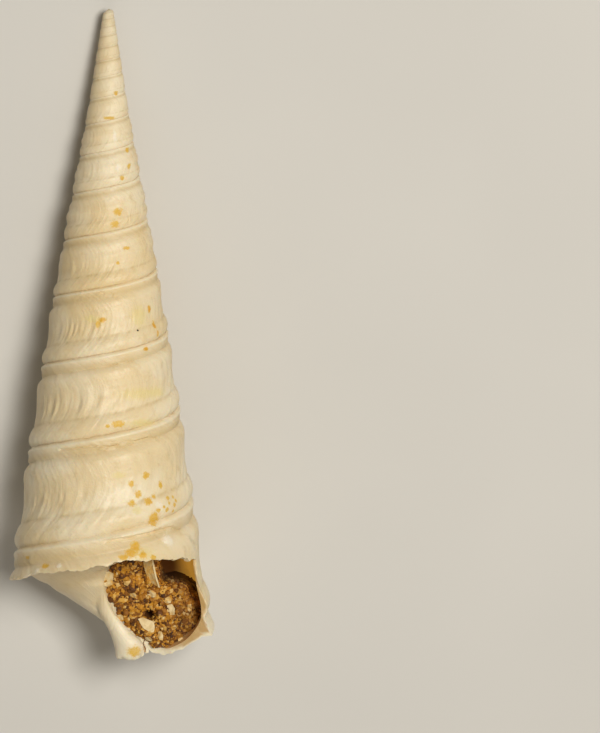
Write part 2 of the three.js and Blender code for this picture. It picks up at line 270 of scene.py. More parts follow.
ladder = np.linspace(0, 1, 101)
sample = fine_relief(suture_at(ladder - 1), ladder, np.full(101, -1.0)) * 100
print("fine relief down a turn:", sample.min().round(1), "to", sample.max().round(1),
      "% of the radius")

# %% [markdown]
# ## Scars and bumps
# The animal mended its shell after each attack, which left sharp steps that wander over the
# turns, and small blisters. Sculpting would place them by hand. Here each scar is a line of
# places on the coil, and how far a point is from the line makes a furrow with a raised rim.

# %% The scars
SCARS = [
    # depth and half width in mm, then the line's places: degrees round the coil and s
    (.17, .1, [(16, 46.9), (24, 46.15), (29, 45.5), (41, 45.02), (52, 45.05), (60, 45.3),
               (72, 45.55), (90, 45.84)]),
    (.13, .08, [(46, 46.5), (50, 45.98), (54, 45.74), (60, 45.35)]),
    (.1, .07, [(41, 37.72), (54, 37.42), (67, 37.7), (75, 37.58), (86, 37.76)]),
    (.12, .08, [(75, 37.72), (85, 38.1), (101, 38.05), (126, 38.5)]),
    (.05, .08, [(140, 41.6), (137, 41.9), (132, 42.3), (131, 43.25), (134, 43.8)]),
    (.06, .08, [(129, 41.0), (125, 41.5), (121, 41.9), (119.5, 42.6), (121, 43.6), (124, 44)]),
    (.08, .07, [(116, 25.5), (109, 25.5), (97, 25.35), (86, 25.55), (76, 25.8), (69, 26.2),
                (64, 26.6), (61, 27.1), (62, 28)]),
    (.06, .06, [(126, 26.3), (118, 25.75), (110, 25.62)]),
    (.06, .06, [(66, 18), (60, 18.5), (57, 19.1), (58, 19.8)]),
    (.07, .07, [(92, 31.6), (80, 31.3), (66, 31.5), (57, 32.1), (53, 32.9)]),
    (.06, .07, [(48, 38.6), (38, 39), (31, 40), (29, 41.4), (32, 42.6)]),
    (.06, .06, [(58, 38.8), (49, 39.2), (43, 40.2), (42, 41.4)]),
    (.12, .08, [(267.8, 45.7), (269.5, 46.8), (270.7, 47.9), (273, 49.5), (280, 50.8)]),
    (.08, .07, [(262, 45.2), (264, 45.6), (265, 46.3)]),
    (.06, .07, [(300, 43.5), (296, 44.6), (292, 46.2), (292, 47.6), (296, 49)]),
]
SCAR_RIM = (.5, 2.2)  # the rim's height over the scar's depth, and its distance in half widths
BUMPS = [
    # degrees, s, half width and height in mm
    (135, 48.6, .2, .13), (119, 48.0, .19, .1), (144, 47.9, .26, .08), (46, 46.05, .4, .09),
]
FAR = 9.0  # mm, further than any scar reaches


def off_line(line, radius, turns, s):
    """How far, in mm over the shell, each place is from a line of (degrees, s) places."""
    first = line[0][0]
    across = np.radians(turned_from(turns, first)) * radius
    nearest = np.full(np.shape(s), FAR)
    for (angle_a, a), (angle_b, b) in zip(line, line[1:]):
        start, end = (np.radians(angle - first) * radius for angle in (angle_a, angle_b))
        run = end - start, b - a
        share = ((across - start) * run[0] + (s - a) * run[1]) / (run[0] ** 2 + run[1] ** 2)
        share = np.clip(share, 0, 1)
        off = np.hypot(across - start - share * run[0], s - a - share * run[1])
        nearest = np.minimum(nearest, off)
    return nearest


def scar_relief(radius, turns, s):
    """Millimetres that the old scars and small bumps add to the radius."""
    relief = np.zeros(np.shape(s))
    for depth, wide, line in SCARS:
        off = off_line(line, radius, turns, s)
        rim = depth * SCAR_RIM[0] * bell(off, wide * SCAR_RIM[1], wide)
        relief = relief - depth * bell(off, 0, wide) + rim
    for angle, at, wide, height in BUMPS:
        across = np.radians(turned_from(turns, angle)) * radius
        relief = relief + height * bell(np.hypot(across, s - at), 0, wide)
    return relief


def carved_radius(s, u, turns):
    """The shell's radius with all its relief."""
    radius = wall_radius(s, u, turns) * (1 + fine_relief(s, u, turns))
    return radius + scar_relief(radius, turns, s)


print("scars:", len(SCARS), "bumps:", len(BUMPS))

# %% [markdown]
# ## Below the last suture
# Two thirds of the last turn are lost. What is left of it is a ragged strip under the suture,
# and under the strip the base of the turn above shows, smooth and slightly hollow, sweeping into
# the central pillar, the columella. On the back the base is whole, with faint cords. A lathe
# profile could give the base, but not the ragged strip. So all of it is one set of columns round
# the axis, whose first meets the broken lip, and each column may differ from the next.

# %% The strip that is left
STRIP = [(15, 4.6), (42, 3.55), (65, 2.75), (90, 2.55), (135, 2.5), (180, 2.45), (205, 1.35),
         (240, 1.05), (320, 1.1), (375, 1.49)]  # height of the strip at each angle
STRIP_BROKEN = (15, 30, 185, 215)  # degrees between which its edge is ragged
STRIP_JAGS = .08  # mm
JAG_WAVES = [(1, 7.3, 20), (.8, 17.9, 0)]  # share, waves in a turn, phase in degrees
STRIP_NICKS = .2  # mm
NICK_NOISE = [(1, .21, 4.1), (.6, .55, 9.3)]  # share, fineness, layer


def strip_height(theta):
    jags = sum(share * math.sin(math.radians(theta * waves + phase))
               for share, waves, phase in JAG_WAVES)
    nicks = sum(share * noise.noise(Vector((theta * fine, layer, 0)))
                for share, fine, layer in NICK_NOISE)
    broken = float(plateau(theta, *STRIP_BROKEN))
    return float(through(STRIP, theta)) + (STRIP_JAGS * jags + STRIP_NICKS * nicks) * broken


print("the strip is", round(strip_height(90), 2), "mm high in the middle of the front")

# %% The base
BASE = [(8.86, 53.85), (7.98, 54.3), (7, 55), (5.9, 55.45), (3.9, 55.86), (1.8, 55.68)]
CALLUS = .6  # the broken side's base sinks this much more towards the pillar
CALLUS_WITHIN = (4, 6.2)  # radii between which it starts to sink
STRIP_FADE = (300, 350)  # the strip gives way to the keel between these angles
BASE_CORDS = (.075, 4.6)  # height in mm, and cords to the millimetre, times two pi
CORD_BAND = (2, 3.5, 8, 9)  # radii between which the cords rise and end
CORD_SIDE = (170, 230)  # angles over which they begin


def turn_size(theta):
    """Size of the turn at this angle over its size where the last turn ends."""
    return GROWTH ** (theta / 360 - 1)


def base_level(theta, radius):
    """s of the base at an angle and a distance from the axis."""
    size = turn_size(theta)
    own = radius / size
    broken = 1 - smooth(theta, *STRIP_FADE)
    level = through(BASE[::-1], own) + CALLUS * broken * (1 - smooth(own, *CALLUS_WITHIN))
    cords = BASE_CORDS[0] * np.sin(own * BASE_CORDS[1]) * smooth(theta, *CORD_SIDE)
    return size * (level - cords * plateau(own, *CORD_BAND))


print("the base's rim lies at s =", round(float(base_level(360, 8.86)), 2))

# %% [markdown]
# ## The pillar and its fold
# The columella is the rod that the turns wind about. It leans to one side at the foot, and the
# inner lip of the mouth is laid on it as a fold that winds down it. A bent cylinder would miss
# the fold, so the pillar's radius swells where the fold's crest is, steeply towards the mouth.

# %% The pillar
PILLAR = [(46, .95), (51.5, .84), (54, .84), (55.5, .93), (57, .96)]  # radius at each s
FOLD = [(49.6, 104, 1.9), (50.5, 102, 1.62), (51.4, 99, 1.36), (52.2, 85, 1.2), (53, 72, 1.18),
        (53.8, 54, 1.22), (54.7, 37, 1.4), (55.3, 21, 1.85), (56.2, 12, 1.5), (57, 8, 1.15)]
FOLD_WIDTHS = (11, 84)  # the inner lip's fold is steep towards the mouth and gentle on its back


def pillar_radius(s, theta):
    """The pillar's radius, swollen along the fold of the inner lip, which winds down it."""
    body = float(through(PILLAR, s))
    off = (theta - float(through([f[:2] for f in FOLD], s)) + 180) % 360 - 180
    crest = float(through([(f[0], f[2]) for f in FOLD], s)) - body
    begun = float(smooth(s, FOLD[0][0], FOLD[1][0]))
    wide = FOLD_WIDTHS[0] if off < 0 else FOLD_WIDTHS[1]
    return body + crest * begun * float(bell(off, 0, wide))


print("the pillar's radius at s = 54, on the fold:", round(pillar_radius(54, 50), 2), "mm")

# %% Rows down the strip and in under it
STRIP_ROWS = 20
STRIP_THICK, BACK_THICK, KEEL_THICK = .5, .3, .06  # mm, at the front, at the back and on the keel
THIN_FROM, THIN_TO = 185, 230  # angles over which the strip gets thinner
EDGE_ROUGH = (.12, .3, 7.7)  # mm, fineness and layer of the strip's broken edge
HOLLOW_STEP = .35  # mm that the inner face lies further in than the edge
INNER_SHARES = (.35, .7, .92)


def strip_rows(theta, to_keel):
    """The strip's outside, which turns into the keel of the turn above where the strip ends."""
    turns = theta / 360
    s = suture_at(turns) + strip_height(theta) * np.arange(1, STRIP_ROWS + 1) / STRIP_ROWS
    u = turns_at(s) - turns
    strip = carved_radius(s, u, np.full(STRIP_ROWS, turns))
    keel = carved_radius(s, u + 1, np.full(STRIP_ROWS, turns - 1))
    return list(zip(mix(strip, keel, to_keel), s))


def under_rows(theta, outside, to_keel):
    """The strip's broken edge and its inner face, up to the base."""
    radius, s = outside[-1]
    thick = mix(STRIP_THICK, BACK_THICK, float(smooth(theta, THIN_FROM, THIN_TO)))
    thick = mix(thick, KEEL_THICK, to_keel)
    height, fineness, layer = EDGE_ROUGH
    rough = height * noise.noise(Vector((theta * fineness, 0, layer))) * (1 - to_keel)
    inner = min(radius, outside[STRIP_ROWS // 3][0]) - thick - HOLLOW_STEP
    level = float(base_level(theta, inner))
    rows = [(radius - thick * .45, s + .03 + rough), (radius - thick, s + rough * .5)]
    for share in INNER_SHARES:
        rows.append((mix(radius - thick, inner + .12, share), mix(s, level, share)))
    return rows + [(inner, level)]


front = strip_rows(90, 0.0)
print("rows down the strip and under it:", len(front) + len(under_rows(90, front, 0.0)))

# %% Rows along the base and down the pillar
CEILING_ROWS = 15
NOTCH_FROM, NOTCH_TO = 290, 360  # angles over which the base is drawn out into the siphon's notch
NOTCH_S, NOTCH_RADIUS = 55.7, 1.8
FILLET_RADIUS, FILLET_LENGTH = 4.42, 2.4
FILLET_OPEN = (.42, 68, 112)  # within the mouth the fillet is this much smaller
PILLAR_RING, PILLAR_TIP, PILLAR_TIP_RADIUS = 56.62, 56.8, .86
FILLET_SHARES = np.linspace(.09, 1, 11)
FILLET_HOLLOW = 1.3  # how hollow the fillet's curve is
PILLAR_SHARES = np.linspace(.07, .94, 13)
PILLAR_SWELL = (.3, .2)  # how much thicker the notch makes the fillet and the pillar
PILLAR_CHIPS = (.22, 1.4, 3.3)  # mm, fineness and layer of the foot's chipped end


def base_rows(theta, inner, late):
    """The base, from the strip's inner face to where it turns down into the pillar."""
    opened = mix(FILLET_OPEN[0], 1, float(smooth(theta, *FILLET_OPEN[1:])))
    end = mix(FILLET_RADIUS * turn_size(theta) * opened, NOTCH_RADIUS, late)
    rows = []
    for share in np.arange(1, CEILING_ROWS + 1) / CEILING_ROWS:
        radius = mix(inner, end, share)
        rows.append((radius, float(base_level(theta, radius))))
    rows[-1] = (rows[-1][0], min(rows[-1][1], NOTCH_S))
    return rows


def pillar_rows(theta, start_radius, start_s, late):
    """The fillet under the base, and the pillar down to its chipped end."""
    length = min(FILLET_LENGTH * turn_size(theta), .6 * (PILLAR_RING - start_s))
    rows = []
    for share in FILLET_SHARES:
        s = start_s + length * share
        pillar = pillar_radius(s, theta) * (1 + PILLAR_SWELL[0] * late)
        rows.append((pillar + (start_radius - pillar) * (1 - share) ** FILLET_HOLLOW, s))
    foot = rows[-1][1]
    for share in PILLAR_SHARES:
        s = mix(foot, PILLAR_RING, share)
        rows.append((pillar_radius(s, theta) * (1 + PILLAR_SWELL[1] * late * (1 - share)), s))
    height, fineness, layer = PILLAR_CHIPS
    x, z = math.cos(math.radians(theta)), math.sin(math.radians(theta))
    chips = height * noise.noise(Vector((x * fineness, z * fineness, layer)))
    rows.append((pillar_radius(PILLAR_RING, theta), PILLAR_RING + chips))
    rows.append((PILLAR_TIP_RADIUS, PILLAR_TIP + chips))
    return rows


def end_column(theta):
    """The (radius, s) rows from the suture down the strip, in under it and down the pillar."""
    to_keel = float(smooth(theta, *STRIP_FADE))
    late = float(smooth(theta, NOTCH_FROM, NOTCH_TO))
    rows = strip_rows(theta, to_keel)
    rows += under_rows(theta, rows, to_keel)
    rows += base_rows(theta, rows[-1][0], late)
    return rows + pillar_rows(theta, *rows[-1], late)


RING_ROW = len(end_column(90)) - 2  # from this row on, the last column is the first one
print("rows in a column under the suture:", RING_ROW + 2)

# %% [markdown]
# ## The shell's skin
# The rows are joined into one closed skin, column by column. Young turns are small and take few
# rows, old turns many, and a zip of triangles joins columns whose rows differ. A swept curve
# would leave its turns loose in each other. Here the foot of each turn is also the head of the
# next, so the seam is welded and nothing is left open.

# %% From coil to space
COLUMNS = 256
FINENESS = [(5, 5), (10, 9), (17, 15), (26, 28), (99, 52)]  # up to this s, rows in a turn
CREASE_CLUSTER = .35  # how much the rows crowd towards the seams
BEND = [(51.3, 0), (52.3, .06), (53.2, .38), (54.7, 1.2), (55.8, 1.6), (57, 1.68)]  # at each s
BEND_WITHIN = (2, 7)  # the pillar bends, and the base between these radii follows less and less


def place(radius, theta, s):
    bend = through(BEND, np.asarray(s, float)) * (1 - smooth(radius, *BEND_WITHIN))
    angle = np.radians(theta)
    across = radius * np.cos(angle) + bend
    return np.stack([across, -s + 0 * across, radius * np.sin(angle)], -1)


def rows_at(s):
    count = next(rows for limit, rows in FINENESS if s < limit)
    even = np.arange(1, count + 1) / count
    return even - CREASE_CLUSTER / (2 * np.pi) * np.sin(2 * np.pi * even)


print("rows down a young and an old turn:", len(rows_at(4)), "and", len(rows_at(40)))

# %% A skin that grows


class Skin:
    """Points and faces that grow column by column."""

    def __init__(self):
        self.points = []
        self.spots = []
        self.faces = []
        self.whole = 0  # number of faces before the broken ones

    def add(self, radius, theta, s):
        """New points, whose numbers it returns."""
        spots = np.stack(np.broadcast_arrays(radius, theta, s), -1)
        first = len(self.points)
        self.points.extend(map(tuple, place(*spots.T)))
        self.spots.extend(spots)
        return list(range(first, len(self.points)))

    def face(self, *corners):
        """A face, unless its corners fall together."""
        distinct = tuple(dict.fromkeys(corners))
        if len(distinct) > 2:
            self.faces.append(distinct)

    def zip(self, a, b, at_a=None, at_b=None):
        """Joins two rows of points, whose places along the rows may be given."""
        at_a = np.linspace(0, 1, len(a)) if at_a is None else at_a
        at_b = np.linspace(0, 1, len(b)) if at_b is None else at_b
        i = j = 0
        while i < len(a) - 1 or j < len(b) - 1:
            both = i < len(a) - 1 and j < len(b) - 1
            if both and len(a) == len(b) and i == j:
                self.face(a[i], a[i + 1], b[j + 1], b[j])
                i, j = i + 1, j + 1
            elif j >= len(b) - 1 or (i < len(a) - 1 and at_a[i + 1] <= at_b[j + 1]):
                self.face(a[i], a[i + 1], b[j])
                i += 1
            else:
                self.face(a[i], b[j + 1], b[j])
                j += 1


trial = Skin()
trial.zip(trial.add(np.ones(4), 0, np.arange(4)), trial.add(np.ones(3), 9, np.arange(3)))
print("zipping 4 points to 3 makes", len(trial.faces), "faces")

# %% [markdown]
# ## The broken lip
# Shell breaks like china: the edge runs in shallow bites, with a rough, paler face across the
# wall. A flat cut would look sawn. So the last few columns lean forwards and back by noise, and
# the face between the outside and the inside is a small grid of its own, roughened.

# %% Lip and break
LIP_DEGREES = 15  # the tube is whole up to this angle of the last turn
LIP_REACH = 9  # degrees of the wall that lean with the break
LIP_BITES = [(1.3, .5), (.5, 1.9)]  # degrees, fineness
LIP_FREE = (1.1, 2.6)  # radii over which the lean begins


def lip_lean(radius, s):
    """Degrees by which the broken edge leans forwards."""
    lean = np.zeros(np.shape(s))
    for degrees, fineness in LIP_BITES:
        spots = np.stack([radius * fineness, s * fineness, np.full(np.shape(s), degrees * 5)], -1)
        values = [noise.noise(Vector(spot)) for spot in spots.reshape(-1, 3)]
        lean = lean + degrees * np.array(values).reshape(np.shape(s))
    return lean * smooth(radius, *LIP_FREE)


def near_lip(theta):
    return smooth(theta, LIP_DEGREES - LIP_REACH, LIP_DEGREES)


def along(points):
    """Places of points along the line through them, from 0 to 1."""
    steps = np.linalg.norm(np.diff(points, axis=0), axis=1)
    run = np.concatenate([[0], np.cumsum(steps)])
    return run / run[-1]


def resample(points, count, measured=None):
    """The line through the points, with its points evenly spaced."""
    run = along(points if measured is None else measured)
    even = np.linspace(0, 1, count)
    return np.stack([np.interp(even, run, points[:, k]) for k in range(points.shape[1])], -1)


lean = lip_lean(np.full(30, 6.0), np.linspace(44, 54, 30))
print("the lip leans between", lean.min().round(1), "and", lean.max().round(1), "degrees")

# %% Grow the wall
EDGE_GAP, EDGE_BLEND = .012, .07  # turns under the strip to the wall's first row, and of the blend
APEX_RISE = .08  # mm that the tip's point stands out


def wall_places(lip_s):
    """Turns of all columns, the rows that each one owns, and the strip's edge down the turn."""
    lip = LIP_DEGREES / 360
    count = round((lip - float(turns_at(TIP))) * COLUMNS)
    turns = lip - (count - np.arange(count + 1)) / COLUMNS
    strip_edge = float(turns_at(lip_s)) - lip
    owned = [rows_at(suture_at(t)) for t in turns]
    owned[-1] = owned[-1][owned[-1] > strip_edge + EDGE_GAP]
    return turns, owned, strip_edge


def wall_points(skin, turns, owned, strip_edge):
    """The wall's points, column by column. The first turn owns its heads as well."""
    first = [np.array([0.0]) if i < COLUMNS else np.array([]) for i in range(len(turns))]
    sizes = [len(head) + len(rows) for head, rows in zip(first, owned)]
    u = np.concatenate([np.concatenate(pair) for pair in zip(first, owned)])
    t = np.repeat(turns, sizes)
    s = suture_at(t + u)
    radius = carved_radius(s, u, t)
    leaning = near_lip(t * 360) * smooth(u, strip_edge, strip_edge + EDGE_BLEND)
    ids = skin.add(radius, t * 360 + lip_lean(radius, s) * leaning, s)
    starts = np.cumsum([0, *sizes])
    return [ids[a:b] for a, b in zip(starts, starts[1:])]


def grow_wall(skin, strip_ids, lip_s):
    """The wall from the tip to the lip, as its columns of points."""
    turns, owned, strip_edge = wall_places(lip_s)
    count = len(turns) - 1
    columns = []
    for i, own in enumerate(wall_points(skin, turns, owned, strip_edge)):
        head = [] if i < COLUMNS else [columns[i - COLUMNS][-1]]
        columns.append(head + (strip_ids if i == count else []) + own)
    for i in range(1, count + 1):
        at = [np.concatenate([[0], owned[k]]) for k in (i - 1, i)]
        if i == count:
            strip_u = np.linspace(0, strip_edge, len(strip_ids) + 1)
            at[1] = np.concatenate([strip_u, owned[i]])
        skin.zip(columns[i - 1], columns[i], *at)
    apex = skin.add([0.0], 0, TIP - APEX_RISE)[0]
    for i in range(1, COLUMNS + 1):
        skin.face(apex, columns[i - 1][0], columns[i][0])
    for m in range(len(columns[0]) - 1):
        skin.face(apex, columns[0][m + 1], columns[0][m])
    return columns


print("columns from the tip to the lip:", len(wall_places(46.0)[0]))

# %% The broken face
BREAK_ROWS = 12
BREAK_POINTS = 170
BREAK_ROUGH = .45  # degrees
BREAK_NOISE = (3.1, 2.2)  # fineness and layer
BREAK_CROWD = 2.2  # how much the rows crowd towards the outside


def break_lines(skin, near, far):
    """Both edges of the break as (radius, s, degrees) lines."""
    lines = [np.array([skin.spots[k] for k in row])[:, [0, 2, 1]] for row in (near, far)]
    for line in lines:
        line[:, 2] = (line[:, 2] + 180) % 360 - 180
    return lines


def grow_break(skin, last_wall, ends):
    near = ends[0][STRIP_ROWS:RING_ROW + 2]
    far = [near[0], *last_wall[STRIP_ROWS + 1:], *ends[-1][1:RING_ROW + 1], near[-1]]
    edges = break_lines(skin, near, far)
    start, end = (resample(line, BREAK_POINTS, line[:, :2]) for line in edges)
    rows, places = [near], [along(edges[0][:, :2])]
    fineness, layer = BREAK_NOISE
    for k in range(1, BREAK_ROWS):
        share = 1 - (1 - k / BREAK_ROWS) ** BREAK_CROWD
        radius, s, angle = mix(start, end, share)[1:-1].T
        spots = np.stack([radius * fineness, s * fineness, np.full(len(s), layer)], -1)
        rough = np.array([noise.noise(Vector(spot)) for spot in spots])
        angle = angle + BREAK_ROUGH * rough * smooth(radius, 1.5, 3) * (1 - share ** 6)
        rows.append([near[0], *skin.add(radius, angle, s), near[-1]])
        places.append(np.linspace(0, 1, BREAK_POINTS))
    rows.append(far)
    places.append(along(edges[1][:, :2]))
    for k in range(BREAK_ROWS):
        skin.zip(rows[k + 1], rows[k], places[k + 1], places[k])


print("the break is a grid of", BREAK_ROWS, "by", BREAK_POINTS)

# %% Grow the whole skin


def grow_shell():
    """The wall, then the columns under the last suture, then the break between them."""
    skin = Skin()
    first = np.array(end_column(LIP_DEGREES))
    lip_ids = skin.add(first[:, 0], LIP_DEGREES, first[:, 1])
    wall = grow_wall(skin, lip_ids[:STRIP_ROWS], first[STRIP_ROWS - 1, 1])
    sutures = [column[-1] for column in wall[-1 - COLUMNS:]]
    ends = [[sutures[0], *lip_ids]]
    for j in range(1, COLUMNS + 1):
        theta = LIP_DEGREES + 360 * j / COLUMNS
        rows = np.array(end_column(theta))
        if j == COLUMNS:
            rows = rows[:RING_ROW]
        lean = lip_lean(rows[:, 0], rows[:, 1]) * near_lip(theta - 360)
        own = skin.add(rows[:, 0], theta + lean, rows[:, 1])
        shared = lip_ids[RING_ROW:] if j == COLUMNS else []
        ends.append([sutures[j], *own, *shared])
        skin.zip(ends[j - 1], ends[j])
    tip = skin.add([.1], 0, PILLAR_TIP + .05)[0]
    for j in range(COLUMNS):
        skin.face(tip, ends[j + 1][-1], ends[j][-1])
    skin.whole = len(skin.faces)
    grow_break(skin, wall[-1], ends)
    return skin


skin = grow_shell()
print("points:", len(skin.points), "faces:", len(skin.faces))

# %% [markdown]
# ## The lie
# A tower shell can't stand, so it lies on its side, tip down a little, on the keels of its
# turns. The part's origin is the keel that carries it. The keels are worn flat there.

# %% Lay it down
LIE_DEGREES = 7.8
REST_TURNS, REST_U = -1.25, .87  # the keel that carries it: turns, and place down the turn
WORN = .14  # mm worn off that keel


def lie():
    """Where the fossil's own frame lies, and how it is turned."""
    s = suture_at(REST_TURNS + REST_U)
    up = float(wall_radius(s, REST_U, REST_TURNS)) - WORN
    tilt = Matrix.Rotation(math.radians(-LIE_DEGREES), 4, "X")
    return tilt @ Matrix.Translation(Vector((0, s, up))), Euler((math.radians(-LIE_DEGREES), 0, 0))


LIE, LIE_TURN = lie()


def laid(points):
    """Points of the fossil's own frame, in mm, where they lie, in metres."""
    turn = np.array(LIE.to_3x3())
    return (np.asarray(points, float) @ turn.T + np.array(LIE.translation)) * MM


def unlaid(points):
    turn = np.array(LIE.to_3x3())
    return (np.asarray(points, float) / MM - np.array(LIE.translation)) @ turn


print("the axis dips", LIE_DEGREES, "degrees towards the tip")

# %% Make a piece


def make_piece(name, points, faces):
    mesh = bpy.data.meshes.new(name)
    mesh.from_pydata(laid(points).tolist(), [], faces)
    mesh.validate()
    piece = bpy.data.objects.new(name, mesh)
    bpy.context.scene.collection.objects.link(piece)
    return piece


def volume(piece):
    piece.data.calc_loop_triangles()
    points = np.array([v.co for v in piece.data.vertices]) / MM
    corners = np.array([t.vertices for t in piece.data.loop_triangles])
    a, b, c = (points[corners[:, k]] for k in range(3))
    return float((a * np.cross(b, c)).sum() / 6)


def face_outwards(piece):
    if volume(piece) < 0:
        piece.data.flip_normals()
    return piece


shell = face_outwards(make_piece("tower_shell", skin.points, skin.faces))
print("shell before cutting:", len(skin.faces), "faces,", round(volume(shell)), "cubic mm")

# %% [markdown]
# ## The hollow
# The tube is hollow. Its inside is cut out by a second, smaller tube swept along the same coil:
# modelling the wall as two skins would do too, but a cut meets the ragged break by itself. The
# same tube, drawn in a little, later bounds the sand.

# %% The hollow's outline
WALL, KEEL_WALL = .3, .5
KEEL_FROM, KEEL_TO = .75, 1.04  # places down the turn over which the wall gets thicker
OUTER_PLACES = (.2, .36, .55, .75, .93, 1.04)
FLOOR_WALL = [(7, .55), (6, .46), (4.8, .46), (3.8, .53), (2.7, .7), (1.9, .9), (1.25, 1.5)]
PILLAR_PLACES = (.12, .3, .5, .7, .88)
LINING = .1  # mm between the hollow and the columns' rows
CORNER_IN = .3


def hollow_section(theta, inset):
    """The hollow's outline at an angle: outer wall, floor, pillar, fillet and ceiling."""
    turns = theta / 360
    grown = GROWTH ** turns
    section = []
    for u in OUTER_PLACES:
        s = suture_at(turns + u)
        thick = mix(WALL, KEEL_WALL, float(smooth(u, KEEL_FROM, KEEL_TO))) + inset
        section.append((float(wall_radius(s, u, turns)) - thick, s))
    for radius, thick in FLOOR_WALL:
        level = float(through(BASE[::-1], radius))
        section.append((radius * grown, grown * level - thick - inset))
    rows = end_column(theta)
    gap = LINING + inset
    deepest = section[-1][1]
    foot = RING_ROW - len(PILLAR_SHARES) - 1
    for share in PILLAR_PLACES:
        s = mix(deepest, rows[foot][1], share)
        section.append((float(through(PILLAR, s)) + gap, s))
    fillet = foot + 1 - len(FILLET_SHARES)
    for row in range(foot, fillet - 1, -2):
        section.append((rows[row][0] + gap * .8, rows[row][1] + gap * .6))
    for row in range(fillet - 4, STRIP_ROWS + 7, -3):
        section.append((rows[row][0], rows[row][1] + gap))
    corner = rows[STRIP_ROWS + 5]
    section.append((min(corner[0], section[0][0]) - CORNER_IN, corner[1] + gap + .1))
    return np.array(section)


print("points round the hollow:", len(hollow_section(0, 0)))

# %% Sweep it along the coil


def rounded(section):
    """Cuts the corners of a closed outline twice."""
    for _ in range(2):
        ahead = np.roll(section, -1, axis=0)
        pairs = np.stack([mix(section, ahead, .25), mix(section, ahead, .75)], 1)
        section = pairs.reshape(-1, 2)
    return section


def sweep(name, start, end, steps, inset):
    """A closed tube along the coil between two angles."""
    points, faces = [], []
    for k in range(steps + 1):
        theta = mix(start, end, k / steps)
        section = rounded(hollow_section(theta, inset))
        size = len(section)
        points.extend(place(section[:, 0], theta, section[:, 1]))
    for k in range(steps):
        for m in range(size):
            n = (m + 1) % size
            a, b = k * size, (k + 1) * size
            faces.append((a + m, b + m, b + n, a + n))
    faces.append(tuple(range(size)))
    faces.append(tuple(range(steps * size, (steps + 1) * size))[::-1])
    return face_outwards(make_piece(name, points, faces))


HOLLOW_FROM, HOLLOW_TO, HOLLOW_STEPS = -58, 21, 46
hollow = sweep("hollow", HOLLOW_FROM, HOLLOW_TO, HOLLOW_STEPS, 0)
print("hollow:", round(volume(hollow)), "cubic mm")

# %% [markdown]
# ## Drill hole and crack
# The small oval hole on the back is a predator's drill hole: a straight bore with a bevelled
# mouth that is wider on one side. Beside the pillar's foot a crack runs up from the broken edge.
# A bump map would make neither: they're open, with dark insides, the bore's darkened by painted
# shade as well. Both are cut with real tools, as rings of points for the bore and a thin crooked
# blade for the crack.

# %% The drill
HOLE_ANGLE, HOLE_S, HOLE_TURN = 232.5, 30.02, -22
HOLE_COIL = (.4, -2)  # the wall's radius there is that of this place down this turn
BORE = [(-2.2, .4), (-.5, .43), (-.36, .46), (-.22, .54), (-.11, .66), (-.02, .8), (.1, .98),
        (.4, 1.3)]  # height over the wall and radius
BORE_OVAL = (1.55, 1.9)  # across and along
BORE_WOBBLE = .02
BEVEL = (-.4, .3)  # heights over which the bore opens into its bevel
BEVEL_SHIFT = (-.26, -.28)  # the bevel is wider on one side
BORE_SIDES = 56


def bore_ring(height, radius):
    """One ring of the bore: how far its points lie across the axis and along it."""
    around = np.linspace(0, 2 * np.pi, BORE_SIDES, endpoint=False)
    turn = math.radians(HOLE_TURN)
    waves = 3 * around + 1, 5 * around + height * 3
    wobble = 1 + BORE_WOBBLE * np.sin(waves[0]) + BORE_WOBBLE * np.sin(waves[1])
    wide, tall = (radius * size * wobble for size in BORE_OVAL)
    side, rise = wide * np.cos(around), tall * np.sin(around)
    bevel = float(smooth(height, *BEVEL))
    across = side * math.cos(turn) - rise * math.sin(turn) + BEVEL_SHIFT[0] * bevel
    along_axis = side * math.sin(turn) + rise * math.cos(turn) + BEVEL_SHIFT[1] * bevel
    return across, along_axis


def drill():
    """The bore as rings of points from its bottom outwards, between two end points."""
    angle = math.radians(HOLE_ANGLE)
    out = np.array([math.cos(angle), 0, math.sin(angle)])
    axis = np.array([0, 1, 0])
    across = np.cross(out, axis)
    centre = out * float(wall_radius(HOLE_S, *HOLE_COIL)) - axis * HOLE_S
    points = [centre + out * BORE[0][0]]
    for height, radius in BORE:
        side, rise = bore_ring(height, radius)
        points.extend(centre + np.outer(side, across) + np.outer(rise, axis) + out * height)
    points.append(centre + out * BORE[-1][0])
    faces = []
    for k in range(BORE_SIDES):
        n = (k + 1) % BORE_SIDES
        faces.append((0, 1 + n, 1 + k))
        for ring in range(len(BORE) - 1):
            a, b = 1 + ring * BORE_SIDES, 1 + (ring + 1) * BORE_SIDES
            faces.append((a + k, a + n, b + n, b + k))
        last = 1 + (len(BORE) - 1) * BORE_SIDES
        faces.append((len(points) - 1, last + k, last + n))
    return face_outwards(make_piece("drill", points, faces))


hole = drill()
print("drill:", len(hole.data.vertices), "points")

# %% The crack's blade
CRACK = [(3.1, 54.3), (3.24, 55.0), (3.08, 55.4), (3.24, 55.9), (3.12, 57.2)]
CRACK_WIDTH, CRACK_FROM, CRACK_TO = .1, .1, 2.2  # mm; how wide, and between which heights
CRACK_UNEVEN = (.5, 7)  # share of the width, and waves to the millimetre, times two pi


def crack():
    points, faces = [], []
    for x, s in CRACK:
        wide = CRACK_WIDTH * (1 + CRACK_UNEVEN[0] * math.sin(s * CRACK_UNEVEN[1]))
        for z in (CRACK_FROM, CRACK_TO):
            points += [(x - wide / 2, -s, z), (x + wide / 2, -s, z)]
    for k in range(len(CRACK) - 1):
        a = 4 * k
        faces += [(a, a + 4, a + 6, a + 2), (a + 1, a + 3, a + 7, a + 5),
                  (a, a + 1, a + 5, a + 4), (a + 2, a + 6, a + 7, a + 3)]
    end = 4 * (len(CRACK) - 1)
    faces += [(0, 2, 3, 1), (end, end + 1, end + 3, end + 2)]
    return face_outwards(make_piece("crack", points, faces))


